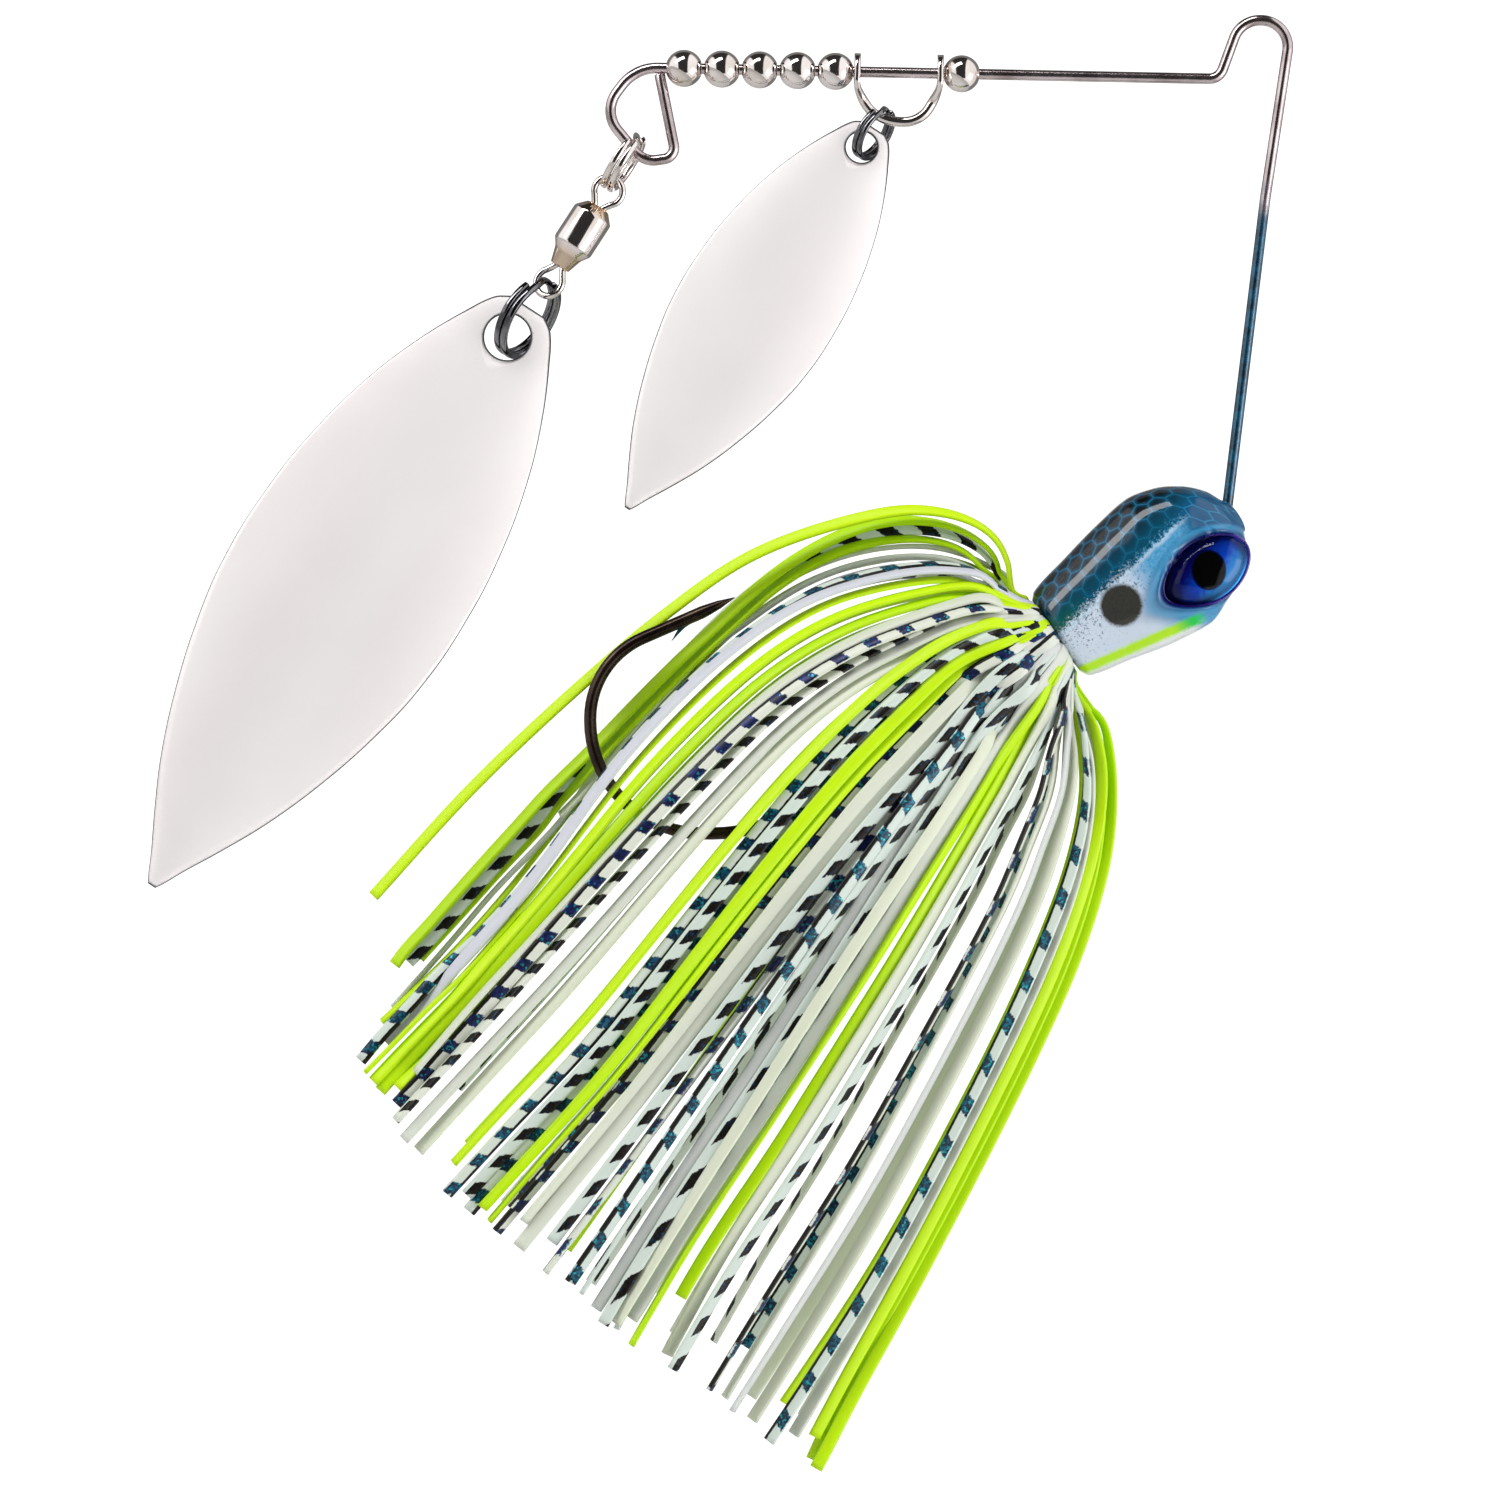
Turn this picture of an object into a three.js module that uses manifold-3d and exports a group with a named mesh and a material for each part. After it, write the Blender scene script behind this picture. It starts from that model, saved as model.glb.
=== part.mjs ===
// A double willow-leaf spinnerbait, hanging by its line tie.
// Units are millimetres and +Z is up. The origin is the inside of the line-tie bend.
//
// The lure is drawn in its own upright plane XZ with the upper arm level, as a point [x, z],
// and is then tilted by HANG_TILT about Y, so that it hangs as it does from a peg.
// What swings (rings, swivel and blades) is drawn straight down in the tilted frame.
import * as THREE from "three";
import { mergeVertices } from "three/addons/utils/BufferGeometryUtils.js";
import Module from "manifold-3d";

const wasm = await Module();
wasm.setup();

// Driving dimensions
const HANG_TILT = THREE.MathUtils.degToRad(33);
const CLEARANCE = 0.3;
const DRILL_LENGTH = 12;
const WIRE_RADIUS = 0.45;
const HOOK_RADIUS = 0.52;
const BEAD_RADIUS = 1.53;
const BEAD_HOLE_RADIUS = 0.62;
const BEAD_PITCH = 3.1;
const BEAD_COUNT = 5;
// Each blade: its hole's centre is holeDrop below the top edge, and dish is its hollow's depth
const LARGE_BLADE = { length: 56.6, width: 19.8, holeRadius: 1.9, holeDrop: 3, dish: 1.3 };
const SMALL_BLADE = { length: 37.2, width: 13, holeRadius: 1.28, holeDrop: 1.9, dish: 0.9 };
const BLADE_THICKNESS = 0.5;
const RING_YAW = THREE.MathUtils.degToRad(24);

// Upper arm: a straight line that falls slightly towards the line tie
const ARM_START = [-3.42, -4.33];
const ARM_SLOPE = -0.0195;
const ARM_END_X = -51.3;
const FIRST_BEAD_X = -47.3;
const FRONT_BEAD_X = -24.55;
const CLEVIS_X = -29.7;

// Head: it is drawn along its own axis, from the back of the skull to the nose
const HEAD_BACK = [-16.9, -49.9];
const HEAD_ANGLE = THREE.MathUtils.degToRad(34);
// Stations of the skull: distance along its axis, top, bottom and half width
const HEAD_STATIONS = [
  [0, 3.3, -3.7, 3.3],
  [0.5, 3.9, -4.4, 3.7],
  [4, 4.75, -5.2, 4.1],
  [8, 5.6, -6.1, 4.5],
  [11, 6, -6.4, 4.75],
  [13.3, 5.5, -5.5, 4.65],
  [15.3, 4.4, -4.65, 4.1],
  [16.8, 2.9, -3.3, 3],
  [17.6, 1.3, -1.7, 1.6],
];
const EYE_ALONG = 13.1;
const EYE_RISE = -2.55;
const EYE_HALF_LENGTH = 4.05;
const EYE_HALF_HEIGHT = 2.8;
const EYE_FLOOR = 2.4;
const EYE_RECESS_OUT = 8;
const FOIL_BASE = 2.7;
const FOIL_TOP = 3.1;
const FOIL_MARGIN = 0.45;
const LENS_BASE = 3.4;
const LENS_HEIGHT = 1.3;
const LENS_MARGIN = 0.5;
const HOOK_EYE_ALONG = 9.4;
const HOOK_EYE_RADIUS = 1.05;
const HOOK_EYE_WIRE = 0.42;
const HOOK_POCKET_RADIUS = 1.8;
const HOOK_POCKET_WIDTH = 1.5;
const HOOK_POINT_LENGTH = 3.1;
const BARB_RADIUS = 0.42;
const BARB_LENGTH = 2;
const NECK_RADIUS = 1.9;
const NECK_LENGTH = 6;
const NECK_RISE = 0.25;
const SHANK_RISE = 0.95;
const LEG_DROP = -1.15;
const COLLAR_BACK = -4.2;
const COLLAR_FRONT = -2.4;
const COLLAR_RADIUS = 2.9;
const FRONT_ENDS_FRONT = -0.35;
const FRONT_ENDS_RADIUS = 3.4;

// Skirt tufts: the foot is where a tuft leaves the collar
const TUFT_FOOT_ALONG = -3.7;
const TUFT_FOOT_RADIUS = 3.9;
const TUFT_FOOT_SIZE = 0.6;
const TUFT_SIZE = 1.25;
const TUFT_STEPS = 9;

// Clevis, rings and swivel
const CLEVIS_HALF_WIDTH = 3.4;
const CLEVIS_EAR_RADIUS = 1.55;
const CLEVIS_EAR_THICKNESS = 0.5;
const CLEVIS_HOLE_RADIUS = 0.62;
const CLEVIS_WIRE_RADIUS = 0.36;
const RING_SPLIT_ANGLE = THREE.MathUtils.degToRad(115);
const SMALL_RING_RADIUS = 2.4;
const SMALL_RING_WIRE = 0.23;
const SMALL_RING_CENTRE = new THREE.Vector3(-21.85, 0, -24.65);
const SMALL_BLADE_HOLE = new THREE.Vector3(-22.05, 0, -26.2);
const LOOP_RING_RADIUS = 2.7;
const LOOP_RING_WIRE = 0.29;
const LOOP_RING_YAW = THREE.MathUtils.degToRad(6);
const LOOP_RING_CENTRE = new THREE.Vector3(-37.75, 0, -37.85);
const SWIVEL_TOP = new THREE.Vector3(-37.5, 0, -42);
const SWIVEL_EYE_RADIUS = 1.45;
const SWIVEL_EYE_WIRE = 0.28;
const SWIVEL_EYE_RISE = 1.5;
const SHAFT_EYE_DROP = -7.4;
const SWIVEL_JOURNAL_RADIUS = 0.4;
const UPPER_FLANGE = { radius: 0.95, bottom: -2.1, top: -1.7 };
const SHAFT_FLANGE = { radius: 1.05, bottom: -2.75, top: -2.35 };
const BALL_COUNT = 5;
const BALL_RADIUS = 0.36;
const BALL_CIRCLE = 0.87;
const BALL_HEIGHT = -3.2;
const LARGE_RING_RADIUS = 3.65;
const LARGE_RING_WIRE = 0.3;
const LARGE_RING_CENTRE = new THREE.Vector3(-37.4, 0, -52.8);
const LARGE_BLADE_HOLE = new THREE.Vector3(-37.9, 0, -55.05);

// Half width of a willow leaf as a share of its greatest, at shares of its length from the top
const LEAF_OUTLINE = [
  [0, 0.17],
  [0.012, 0.27],
  [0.055, 0.42],
  [0.12, 0.6],
  [0.2, 0.77],
  [0.3, 0.91],
  [0.4, 0.985],
  [0.48, 1],
  [0.56, 0.97],
  [0.66, 0.86],
  [0.76, 0.69],
  [0.84, 0.51],
  [0.91, 0.31],
  [0.96, 0.155],
  [0.99, 0.07],
  [1, 0.035],
];

const steel = { color: 0x8a8080, roughness: 0.3, metalness: 0.9 };
const nickel = { color: 0xb8b0a8, roughness: 0.18, metalness: 1 };
const darkChrome = { color: 0x606060, roughness: 0.15, metalness: 1 };
const bladeSilver = { color: 0xd8d2d5, roughness: 0.22, metalness: 1 };
const headPaint = { color: 0x2f7fae, roughness: 0.2, metalness: 0.1 };
const hookFinish = { color: 0x2d2320, roughness: 0.35, metalness: 0.8 };
const eyeFoil = { color: 0x2038b8, roughness: 0.25, metalness: 0.4 };
const eyeLens = { color: 0xd8e4f8, roughness: 0.05, metalness: 0 };
const rubberBlack = { color: 0x15140f, roughness: 0.7, metalness: 0 };
const chartreuse = { color: 0xc8f00a, roughness: 0.4, metalness: 0 };
const pearl = { color: 0xe1e4d7, roughness: 0.4, metalness: 0 };
const printed = { color: 0x35507a, roughness: 0.4, metalness: 0 };

// Each tuft: its angle round the neck in degrees, and the points [x, y, z] that it passes through
const TUFTS = [
  {
    name: "skirt_tuft_crest_far",
    look: chartreuse,
    angle: 15,
    route: [
      [-23.5, 1.2, -40.1],
      [-41.6, 3.4, -43],
      [-54.3, 4.4, -52.5],
      [-72.2, 5, -74.1],
    ],
  },
  {
    name: "skirt_tuft_crest_near",
    look: chartreuse,
    angle: -15,
    route: [
      [-26.3, -1.6, -43],
      [-38.8, -3.9, -45.6],
      [-47.6, -4.5, -54],
      [-70.6, -5, -79.9],
    ],
  },
  {
    name: "skirt_tuft_upper_near",
    look: printed,
    angle: -45,
    route: [
      [-27.1, -3.2, -46.4],
      [-39.4, -5, -53.6],
      [-50.9, -6.5, -65.1],
      [-67.3, -6, -91.3],
    ],
  },
  {
    name: "skirt_tuft_upper_far",
    look: pearl,
    angle: 45,
    route: [
      [-27.1, 3.2, -46.4],
      [-41.1, 5.2, -53.4],
      [-53.4, 6.5, -64.5],
      [-69.8, 6, -86],
    ],
  },
  {
    name: "skirt_tuft_side_near",
    look: chartreuse,
    angle: -75,
    route: [
      [-24.7, -4.4, -50.3],
      [-35.3, -6.8, -60.2],
      [-46, -7.2, -73.3],
      [-60.8, -6, -95.4],
    ],
  },
  {
    name: "skirt_tuft_side_far",
    look: printed,
    angle: 75,
    route: [
      [-24.7, 4.4, -50.3],
      [-37, 6.8, -60.2],
      [-48.5, 7.2, -73],
      [-64, 6, -93.8],
    ],
  },
  {
    name: "skirt_tuft_lower_near",
    look: printed,
    angle: -105,
    route: [
      [-22.6, -4.7, -54],
      [-29.6, -6.6, -65.9],
      [-37.8, -7, -79],
      [-53.4, -6, -103.6],
    ],
  },
  {
    name: "skirt_tuft_lower_far",
    look: chartreuse,
    angle: 105,
    route: [
      [-22.6, 4.7, -54],
      [-31.2, 6.6, -66.4],
      [-41.1, 7, -80.2],
      [-56.7, 6, -100.4],
    ],
  },
  {
    name: "skirt_tuft_belly_near",
    look: pearl,
    angle: -135,
    route: [
      [-20.2, -3.9, -56.6],
      [-24.3, -5.2, -68.4],
      [-30.4, -5.6, -81.5],
      [-46.8, -5, -110.2],
    ],
  },
  {
    name: "skirt_tuft_belly_far",
    look: pearl,
    angle: 135,
    route: [
      [-20.2, 3.9, -56.6],
      [-25.5, 5.2, -69.2],
      [-33.7, 5.6, -84],
      [-50.1, 5, -108.6],
    ],
  },
  {
    name: "skirt_tuft_throat_near",
    look: chartreuse,
    angle: -165,
    route: [
      [-14.6, -1.4, -58.2],
      [-13.8, -1.5, -68.4],
      [-19.8, -1.2, -84.8],
      [-37, -0.8, -115.1],
    ],
  },
  {
    name: "skirt_tuft_throat_far",
    look: printed,
    angle: 165,
    route: [
      [-16.6, 1.7, -60],
      [-19, 2.6, -71.7],
      [-26.3, 2.8, -88.1],
      [-41.9, 2.2, -114.3],
    ],
  },
];

// ---- Frames --------------------------------------------------------------

// A point of the lure's plane, in the lure's own frame.
function inPlane([x, z], y = 0) {
  return new THREE.Vector3(x, y, z);
}

// A point given by its distance along the head's axis and its height off that axis.
function onHead(along, rise) {
  const cos = Math.cos(HEAD_ANGLE);
  const sin = Math.sin(HEAD_ANGLE);
  return [HEAD_BACK[0] + along * cos - rise * sin, HEAD_BACK[1] + along * sin + rise * cos];
}

function armHeight(x) {
  return ARM_START[1] + ARM_SLOPE * (x - ARM_START[0]);
}

// ---- Shapes --------------------------------------------------------------

// A path of straight pieces and bend arcs, stepped so that a straight piece is one step.
class SteppedPath extends THREE.Curve {
  constructor(points) {
    super();
    this.points = points;
  }

  getPoint(t, target = new THREE.Vector3()) {
    const place = t * (this.points.length - 1);
    const index = Math.min(Math.floor(place), this.points.length - 2);
    return target.lerpVectors(this.points[index], this.points[index + 1], place - index);
  }

  getUtoTmapping(u) {
    return u;
  }
}

// The points of a bend of the given radius that rounds the corner between two straight pieces.
function bendPoints(before, corner, after, radius, steps) {
  const back = before.clone().sub(corner).normalize();
  const ahead = after.clone().sub(corner).normalize();
  const halfAngle = back.angleTo(ahead) / 2;
  const reach = radius / Math.tan(halfAngle);
  const middle = back.clone().add(ahead).normalize();
  const centre = corner.clone().addScaledVector(middle, radius / Math.sin(halfAngle));
  const start = corner.clone().addScaledVector(back, reach).sub(centre);
  const end = corner.clone().addScaledVector(ahead, reach).sub(centre);
  const turn = start.angleTo(end);
  const axis = start.clone().cross(end).normalize();
  const points = [];
  for (let i = 0; i <= steps; i += 1) {
    const spoke = start.clone().applyAxisAngle(axis, (turn * i) / steps);
    points.push(centre.clone().add(spoke));
  }
  return points;
}

// A bent wire: corners are [x, z, bend radius, arc steps]; the two ends have only [x, z].
function bentWirePath(corners) {
  const places = corners.map((corner) => inPlane(corner));
  const points = [places[0]];
  for (let i = 1; i < corners.length - 1; i += 1) {
    const [, , radius, steps] = corners[i];
    points.push(...bendPoints(places[i - 1], places[i], places[i + 1], radius, steps));
  }
  points.push(places[places.length - 1]);
  return new SteppedPath(points);
}

function roundSection(radius, sides) {
  const corners = [];
  for (let i = 0; i < sides; i += 1) {
    const angle = (2 * Math.PI * i) / sides;
    corners.push(new THREE.Vector2(radius * Math.cos(angle), radius * Math.sin(angle)));
  }
  return new THREE.Shape(corners);
}

function rod(path, radius, sides) {
  return new THREE.ExtrudeGeometry(roundSection(radius, sides), {
    extrudePath: path,
    steps: path.points.length - 1,
    bevelEnabled: false,
  });
}

// A skin over a row of oval stations, each with its centre, side and up directions and half sizes.
function loft(stations, sides) {
  const last = stations.length - 1;
  const rim = stations.map((station, i) => new THREE.Vector2(1, i));
  const profile = [new THREE.Vector2(0, 0), ...rim, new THREE.Vector2(0, last)];
  const geometry = new THREE.LatheGeometry(profile, sides);
  const position = geometry.getAttribute("position");
  for (let i = 0; i < position.count; i += 1) {
    const station = stations[Math.round(position.getY(i))];
    const point = station.at.clone();
    point.addScaledVector(station.side, position.getX(i) * station.halfWidth);
    point.addScaledVector(station.up, position.getZ(i) * station.halfHeight);
    position.setXYZ(i, point.x, point.y, point.z);
  }
  return geometry;
}

// ---- Joins and cuts ------------------------------------------------------

function toSolid(geometry) {
  const bare = geometry.clone();
  bare.deleteAttribute("normal");
  bare.deleteAttribute("uv");
  const merged = mergeVertices(bare, 1e-4);
  return new wasm.Manifold(
    new wasm.Mesh({
      numProp: 3,
      vertProperties: merged.getAttribute("position").array,
      triVerts: new Uint32Array(merged.index.array),
    }),
  );
}

function toGeometry(solid) {
  const { vertProperties, triVerts } = solid.getMesh();
  const geometry = new THREE.BufferGeometry();
  geometry.setAttribute("position", new THREE.BufferAttribute(vertProperties, 3));
  geometry.setIndex(new THREE.BufferAttribute(triVerts, 1));
  geometry.computeVertexNormals();
  return geometry;
}

function joined(...geometries) {
  return toGeometry(geometries.map(toSolid).reduce((whole, piece) => whole.add(piece)));
}

function cut(geometry, ...tools) {
  return toGeometry(tools.map(toSolid).reduce((left, tool) => left.subtract(tool), toSolid(geometry)));
}

function named(name, geometry, look) {
  const mesh = new THREE.Mesh(geometry, new THREE.MeshStandardMaterial(look));
  mesh.name = name;
  return mesh;
}

// ---- Wire, hook and head -------------------------------------------------

function wirePath() {
  return bentWirePath([
    onHead(2.2, LEG_DROP),
    [...onHead(15.9, LEG_DROP), 2, 6],
    [0.36, -14.05, 8, 2],
    [2.56, 0.48, 2.2, 9],
    [-1.66, 0.48, 2.2, 7],
    [...ARM_START, 1.2, 5],
    [ARM_END_X, armHeight(ARM_END_X), 3.6, 7],
    [-54, -7, 2.5, 8],
    [-50.6, -11.15, 1.9, 6],
    [-47.95, -10.75, 0.95, 6],
    [-49.35, -4.55],
  ]);
}

function hookPath() {
  return bentWirePath([
    onHead(8.3, SHANK_RISE),
    [...onHead(-6, SHANK_RISE), 20, 2],
    [-40.6, -66.2, 13, 5],
    [-55, -66.2, 9.2, 10],
    [-55, -52.05, 7.2, 7],
    [-45.8, -48.05],
  ]);
}

// A cone from a base point towards a direction of the lure's plane.
function spike(base, direction, radius, length) {
  const cone = new THREE.ConeGeometry(radius, length, 8);
  cone.translate(0, length / 2, 0);
  const ahead = inPlane(direction).normalize();
  cone.applyQuaternion(new THREE.Quaternion().setFromUnitVectors(new THREE.Vector3(0, 1, 0), ahead));
  cone.translate(base[0], 0, base[1]);
  return cone;
}

function hookGeometry() {
  const point = spike([-46, -48.14], [2.75, 1.25], HOOK_RADIUS, HOOK_POINT_LENGTH);
  const barb = spike([-47.2, -48.9], [-1.2, -1.6], BARB_RADIUS, BARB_LENGTH);
  const eye = new THREE.TorusGeometry(HOOK_EYE_RADIUS, HOOK_EYE_WIRE, 6, 14);
  placeOnHead(eye, HOOK_EYE_ALONG, SHANK_RISE);
  return joined(rod(hookPath(), HOOK_RADIUS, 8), point, barb, eye);
}

// Turns a piece drawn round the origin so that its X runs along the head's axis, and places it.
function placeOnHead(geometry, along, rise, y = 0) {
  geometry.rotateY(-HEAD_ANGLE);
  const [x, z] = onHead(along, rise);
  geometry.translate(x, y, z);
  return geometry;
}

function headStation([along, top, bottom, halfWidth]) {
  return {
    at: inPlane(onHead(along, (top + bottom) / 2)),
    side: new THREE.Vector3(0, -1, 0),
    up: inPlane([-Math.sin(HEAD_ANGLE), Math.cos(HEAD_ANGLE)]),
    halfWidth,
    halfHeight: (top - bottom) / 2,
  };
}

// The skirt keeper behind the skull: a neck with a small ridge at its end.
function neckGeometry() {
  const profile = [
    [-NECK_LENGTH, NECK_RADIUS],
    [-NECK_LENGTH + 0.4, NECK_RADIUS + 0.35],
    [-NECK_LENGTH + 1.1, NECK_RADIUS],
    [1, NECK_RADIUS],
  ];
  const stations = profile.map(([along, radius]) =>
    headStation([along, NECK_RISE + radius, NECK_RISE - radius, radius]),
  );
  return loft(stations, 20);
}

// A closed ring round the neck.
function neckRing(back, front, outerRadius) {
  const inner = NECK_RADIUS + CLEARANCE;
  const corners = [
    [inner, back],
    [outerRadius, back],
    [outerRadius, front],
    [inner, front],
    [inner, back],
  ];
  const ring = new THREE.LatheGeometry(corners.map((corner) => new THREE.Vector2(...corner)), 24);
  ring.rotateZ(-Math.PI / 2);
  return placeOnHead(ring, 0, NECK_RISE);
}

function eyeOval(side, inner, outer, margin) {
  const oval = new THREE.CylinderGeometry(1, 1, outer - inner, 20);
  oval.scale(EYE_HALF_LENGTH - margin, 1, EYE_HALF_HEIGHT - margin);
  return placeOnHead(oval, EYE_ALONG, EYE_RISE, (side * (inner + outer)) / 2);
}

function eyeLensGeometry(side) {
  const rounds = 4;
  const profile = [new THREE.Vector2(0, 0)];
  for (let i = 0; i < rounds; i += 1) {
    const angle = (Math.PI / 2) * (i / rounds);
    profile.push(new THREE.Vector2(Math.cos(angle), Math.sin(angle)));
  }
  profile.push(new THREE.Vector2(0, 1));
  const lens = new THREE.LatheGeometry(profile, 20);
  lens.scale(EYE_HALF_LENGTH - LENS_MARGIN, LENS_HEIGHT, EYE_HALF_HEIGHT - LENS_MARGIN);
  if (side < 0) lens.rotateX(Math.PI);
  return placeOnHead(lens, EYE_ALONG, EYE_RISE, side * LENS_BASE);
}

function headGeometry() {
  const skull = loft(HEAD_STATIONS.map(headStation), 24);
  const wireHole = rod(wirePath(), WIRE_RADIUS + CLEARANCE, 8);
  const shankHole = rod(hookPath(), HOOK_RADIUS + CLEARANCE, 8);
  const pocket = new THREE.CylinderGeometry(HOOK_POCKET_RADIUS, HOOK_POCKET_RADIUS, HOOK_POCKET_WIDTH, 20);
  pocket.rotateX(Math.PI / 2);
  placeOnHead(pocket, HOOK_EYE_ALONG, SHANK_RISE);
  const recesses = [-1, 1].map((side) => eyeOval(side, EYE_FLOOR, EYE_RECESS_OUT, 0));
  return cut(joined(skull, neckGeometry()), wireHole, shankHole, pocket, ...recesses);
}

// ---- Skirt ---------------------------------------------------------------

// One tuft of strands as a plain tapering body: it leaves the collar at an angle round the
// neck (0 is the top of the head, 90 the far side) and passes through the points [x, y, z].
function tuftGeometry(angleDegrees, route) {
  const angle = THREE.MathUtils.degToRad(angleDegrees);
  const foot = onHead(TUFT_FOOT_ALONG, NECK_RISE + TUFT_FOOT_RADIUS * Math.cos(angle));
  const start = inPlane(foot, TUFT_FOOT_RADIUS * Math.sin(angle));
  const places = route.map((place) => new THREE.Vector3(...place));
  const curve = new THREE.CatmullRomCurve3([start, ...places], false, "centripetal");
  const stations = [];
  for (let i = 0; i <= TUFT_STEPS; i += 1) {
    const t = i / TUFT_STEPS;
    const along = curve.getTangentAt(t);
    const up = new THREE.Vector3(0, 1, 0).addScaledVector(along, -along.y).normalize();
    const radius = TUFT_FOOT_SIZE + (TUFT_SIZE - TUFT_FOOT_SIZE) * Math.sin(Math.min(2.2 * t, 1.9));
    stations.push({
      at: curve.getPointAt(t),
      side: along.clone().cross(up),
      up,
      halfWidth: radius,
      halfHeight: radius,
    });
  }
  return loft(stations, 8);
}

// ---- Beads, rings, clevis and swivel -------------------------------------

function beadGeometry() {
  const reach = Math.sqrt(BEAD_RADIUS ** 2 - BEAD_HOLE_RADIUS ** 2);
  const start = Math.atan2(reach, BEAD_HOLE_RADIUS);
  const rounds = 7;
  const profile = [];
  for (let i = 0; i <= rounds; i += 1) {
    const angle = -start + (2 * start * i) / rounds;
    profile.push(new THREE.Vector2(BEAD_RADIUS * Math.cos(angle), BEAD_RADIUS * Math.sin(angle)));
  }
  profile.push(profile[0].clone());
  const bead = new THREE.LatheGeometry(profile, 16);
  bead.rotateZ(Math.PI / 2);
  return bead;
}

// A split ring of two turns about X: each turn is flat, and a short slant joins them.
function splitRingGeometry(outerRadius, wireRadius, steps) {
  const radius = outerRadius - wireRadius;
  const offset = wireRadius + 0.02;
  const slant = THREE.MathUtils.degToRad(26);
  const begin = RING_SPLIT_ANGLE + slant;
  const sweep = 4 * Math.PI - 2 * slant;
  const points = [];
  for (let i = 0; i <= steps; i += 1) {
    const turned = (sweep * i) / steps;
    const fromMiddle = turned - sweep / 2;
    const across = offset * THREE.MathUtils.clamp(fromMiddle / slant, -1, 1);
    const angle = begin + turned;
    points.push(new THREE.Vector3(across, radius * Math.cos(angle), radius * Math.sin(angle)));
  }
  return rod(new SteppedPath(points), wireRadius, 6);
}

// A folded clevis: two holed ears on the arm, joined by a bow of wire below it.
function clevisGeometry() {
  const ears = [-1, 1].map((side) => {
    const ear = new THREE.CylinderGeometry(1, 1, CLEVIS_EAR_THICKNESS, 18);
    ear.scale(CLEVIS_EAR_RADIUS, 1, CLEVIS_EAR_RADIUS);
    ear.rotateZ(Math.PI / 2);
    return ear.translate(side * CLEVIS_HALF_WIDTH, 0, 0);
  });
  const bow = rod(
    bentWirePath([
      [-CLEVIS_HALF_WIDTH, -0.95],
      [-CLEVIS_HALF_WIDTH, -1.35, 0.5, 3],
      [-1.75, -3.8, 1.5, 5],
      [2.3, -4.35, 2.3, 6],
      [CLEVIS_HALF_WIDTH, -0.95],
    ]),
    CLEVIS_WIRE_RADIUS,
    8,
  );
  const drill = new THREE.CylinderGeometry(CLEVIS_HOLE_RADIUS, CLEVIS_HOLE_RADIUS, DRILL_LENGTH, 16);
  drill.rotateZ(Math.PI / 2);
  return cut(joined(bow, ...ears), drill);
}

function eyeLoop(outerRadius, wireRadius) {
  const loop = new THREE.TorusGeometry(outerRadius - wireRadius, wireRadius, 6, 16);
  return loop.rotateX(Math.PI / 2);
}

function disc({ radius, bottom, top }) {
  const round = new THREE.CylinderGeometry(radius, radius, top - bottom, 16);
  round.rotateX(Math.PI / 2);
  return round.translate(0, 0, (top + bottom) / 2);
}

// The swivel's shell, open at both ends. Its length runs down from the origin.
function swivelShellGeometry() {
  const profile = [
    [0.62, -5.9],
    [0.85, -5.9],
    [1.25, -4.6],
    [1.75, -3.9],
    [1.75, -0.85],
    [0.98, 0],
    [0.62, 0],
    [0.62, -0.7],
    [1.35, -1.3],
    [1.35, -3.8],
    [0.62, -4.4],
    [0.62, -5.9],
  ];
  const shell = new THREE.LatheGeometry(profile.map(([r, z]) => new THREE.Vector2(r, z)), 24);
  return shell.rotateX(Math.PI / 2);
}

function swivelUpperEyeGeometry() {
  const loop = eyeLoop(SWIVEL_EYE_RADIUS, SWIVEL_EYE_WIRE).translate(0, 0, SWIVEL_EYE_RISE);
  const top = SWIVEL_EYE_RISE - 1;
  const journal = disc({ radius: SWIVEL_JOURNAL_RADIUS, bottom: UPPER_FLANGE.bottom + 0.2, top });
  return joined(loop, journal, disc(UPPER_FLANGE));
}

function swivelShaftGeometry() {
  const loop = eyeLoop(SWIVEL_EYE_RADIUS, SWIVEL_EYE_WIRE).translate(0, 0, SHAFT_EYE_DROP);
  const bottom = SHAFT_EYE_DROP + 1;
  const journal = disc({ radius: SWIVEL_JOURNAL_RADIUS, bottom, top: SHAFT_FLANGE.top - 0.05 });
  return joined(loop, journal, disc(SHAFT_FLANGE));
}

// ---- Blades --------------------------------------------------------------

// A dished willow leaf that hangs from its hole at the origin, thin along Y.
function bladeGeometry({ length, width, holeRadius, holeDrop, dish }) {
  const sheet = new THREE.BoxGeometry(2, BLADE_THICKNESS, 1, 6, 1, LEAF_OUTLINE.length - 1);
  const position = sheet.getAttribute("position");
  for (let i = 0; i < position.count; i += 1) {
    const row = Math.round((0.5 - position.getZ(i)) * (LEAF_OUTLINE.length - 1));
    const [t, share] = LEAF_OUTLINE[row];
    const across = position.getX(i);
    const hollow = dish * share * (1 - across * across);
    position.setX(i, (across * share * width) / 2);
    position.setY(i, position.getY(i) - hollow);
    position.setZ(i, holeDrop - t * length);
  }
  return cut(sheet, new THREE.CylinderGeometry(holeRadius, holeRadius, DRILL_LENGTH, 22));
}

// ---- The assembly --------------------------------------------------------

function addSkirt(lure) {
  lure.add(named("skirt_collar", neckRing(COLLAR_BACK, COLLAR_FRONT, COLLAR_RADIUS), rubberBlack));
  const frontEnds = neckRing(COLLAR_FRONT + CLEARANCE, FRONT_ENDS_FRONT, FRONT_ENDS_RADIUS);
  lure.add(named("skirt_front_ends", frontEnds, chartreuse));
  for (const { name, look, angle, route } of TUFTS) {
    lure.add(named(name, tuftGeometry(angle, route), look));
  }
}

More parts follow.
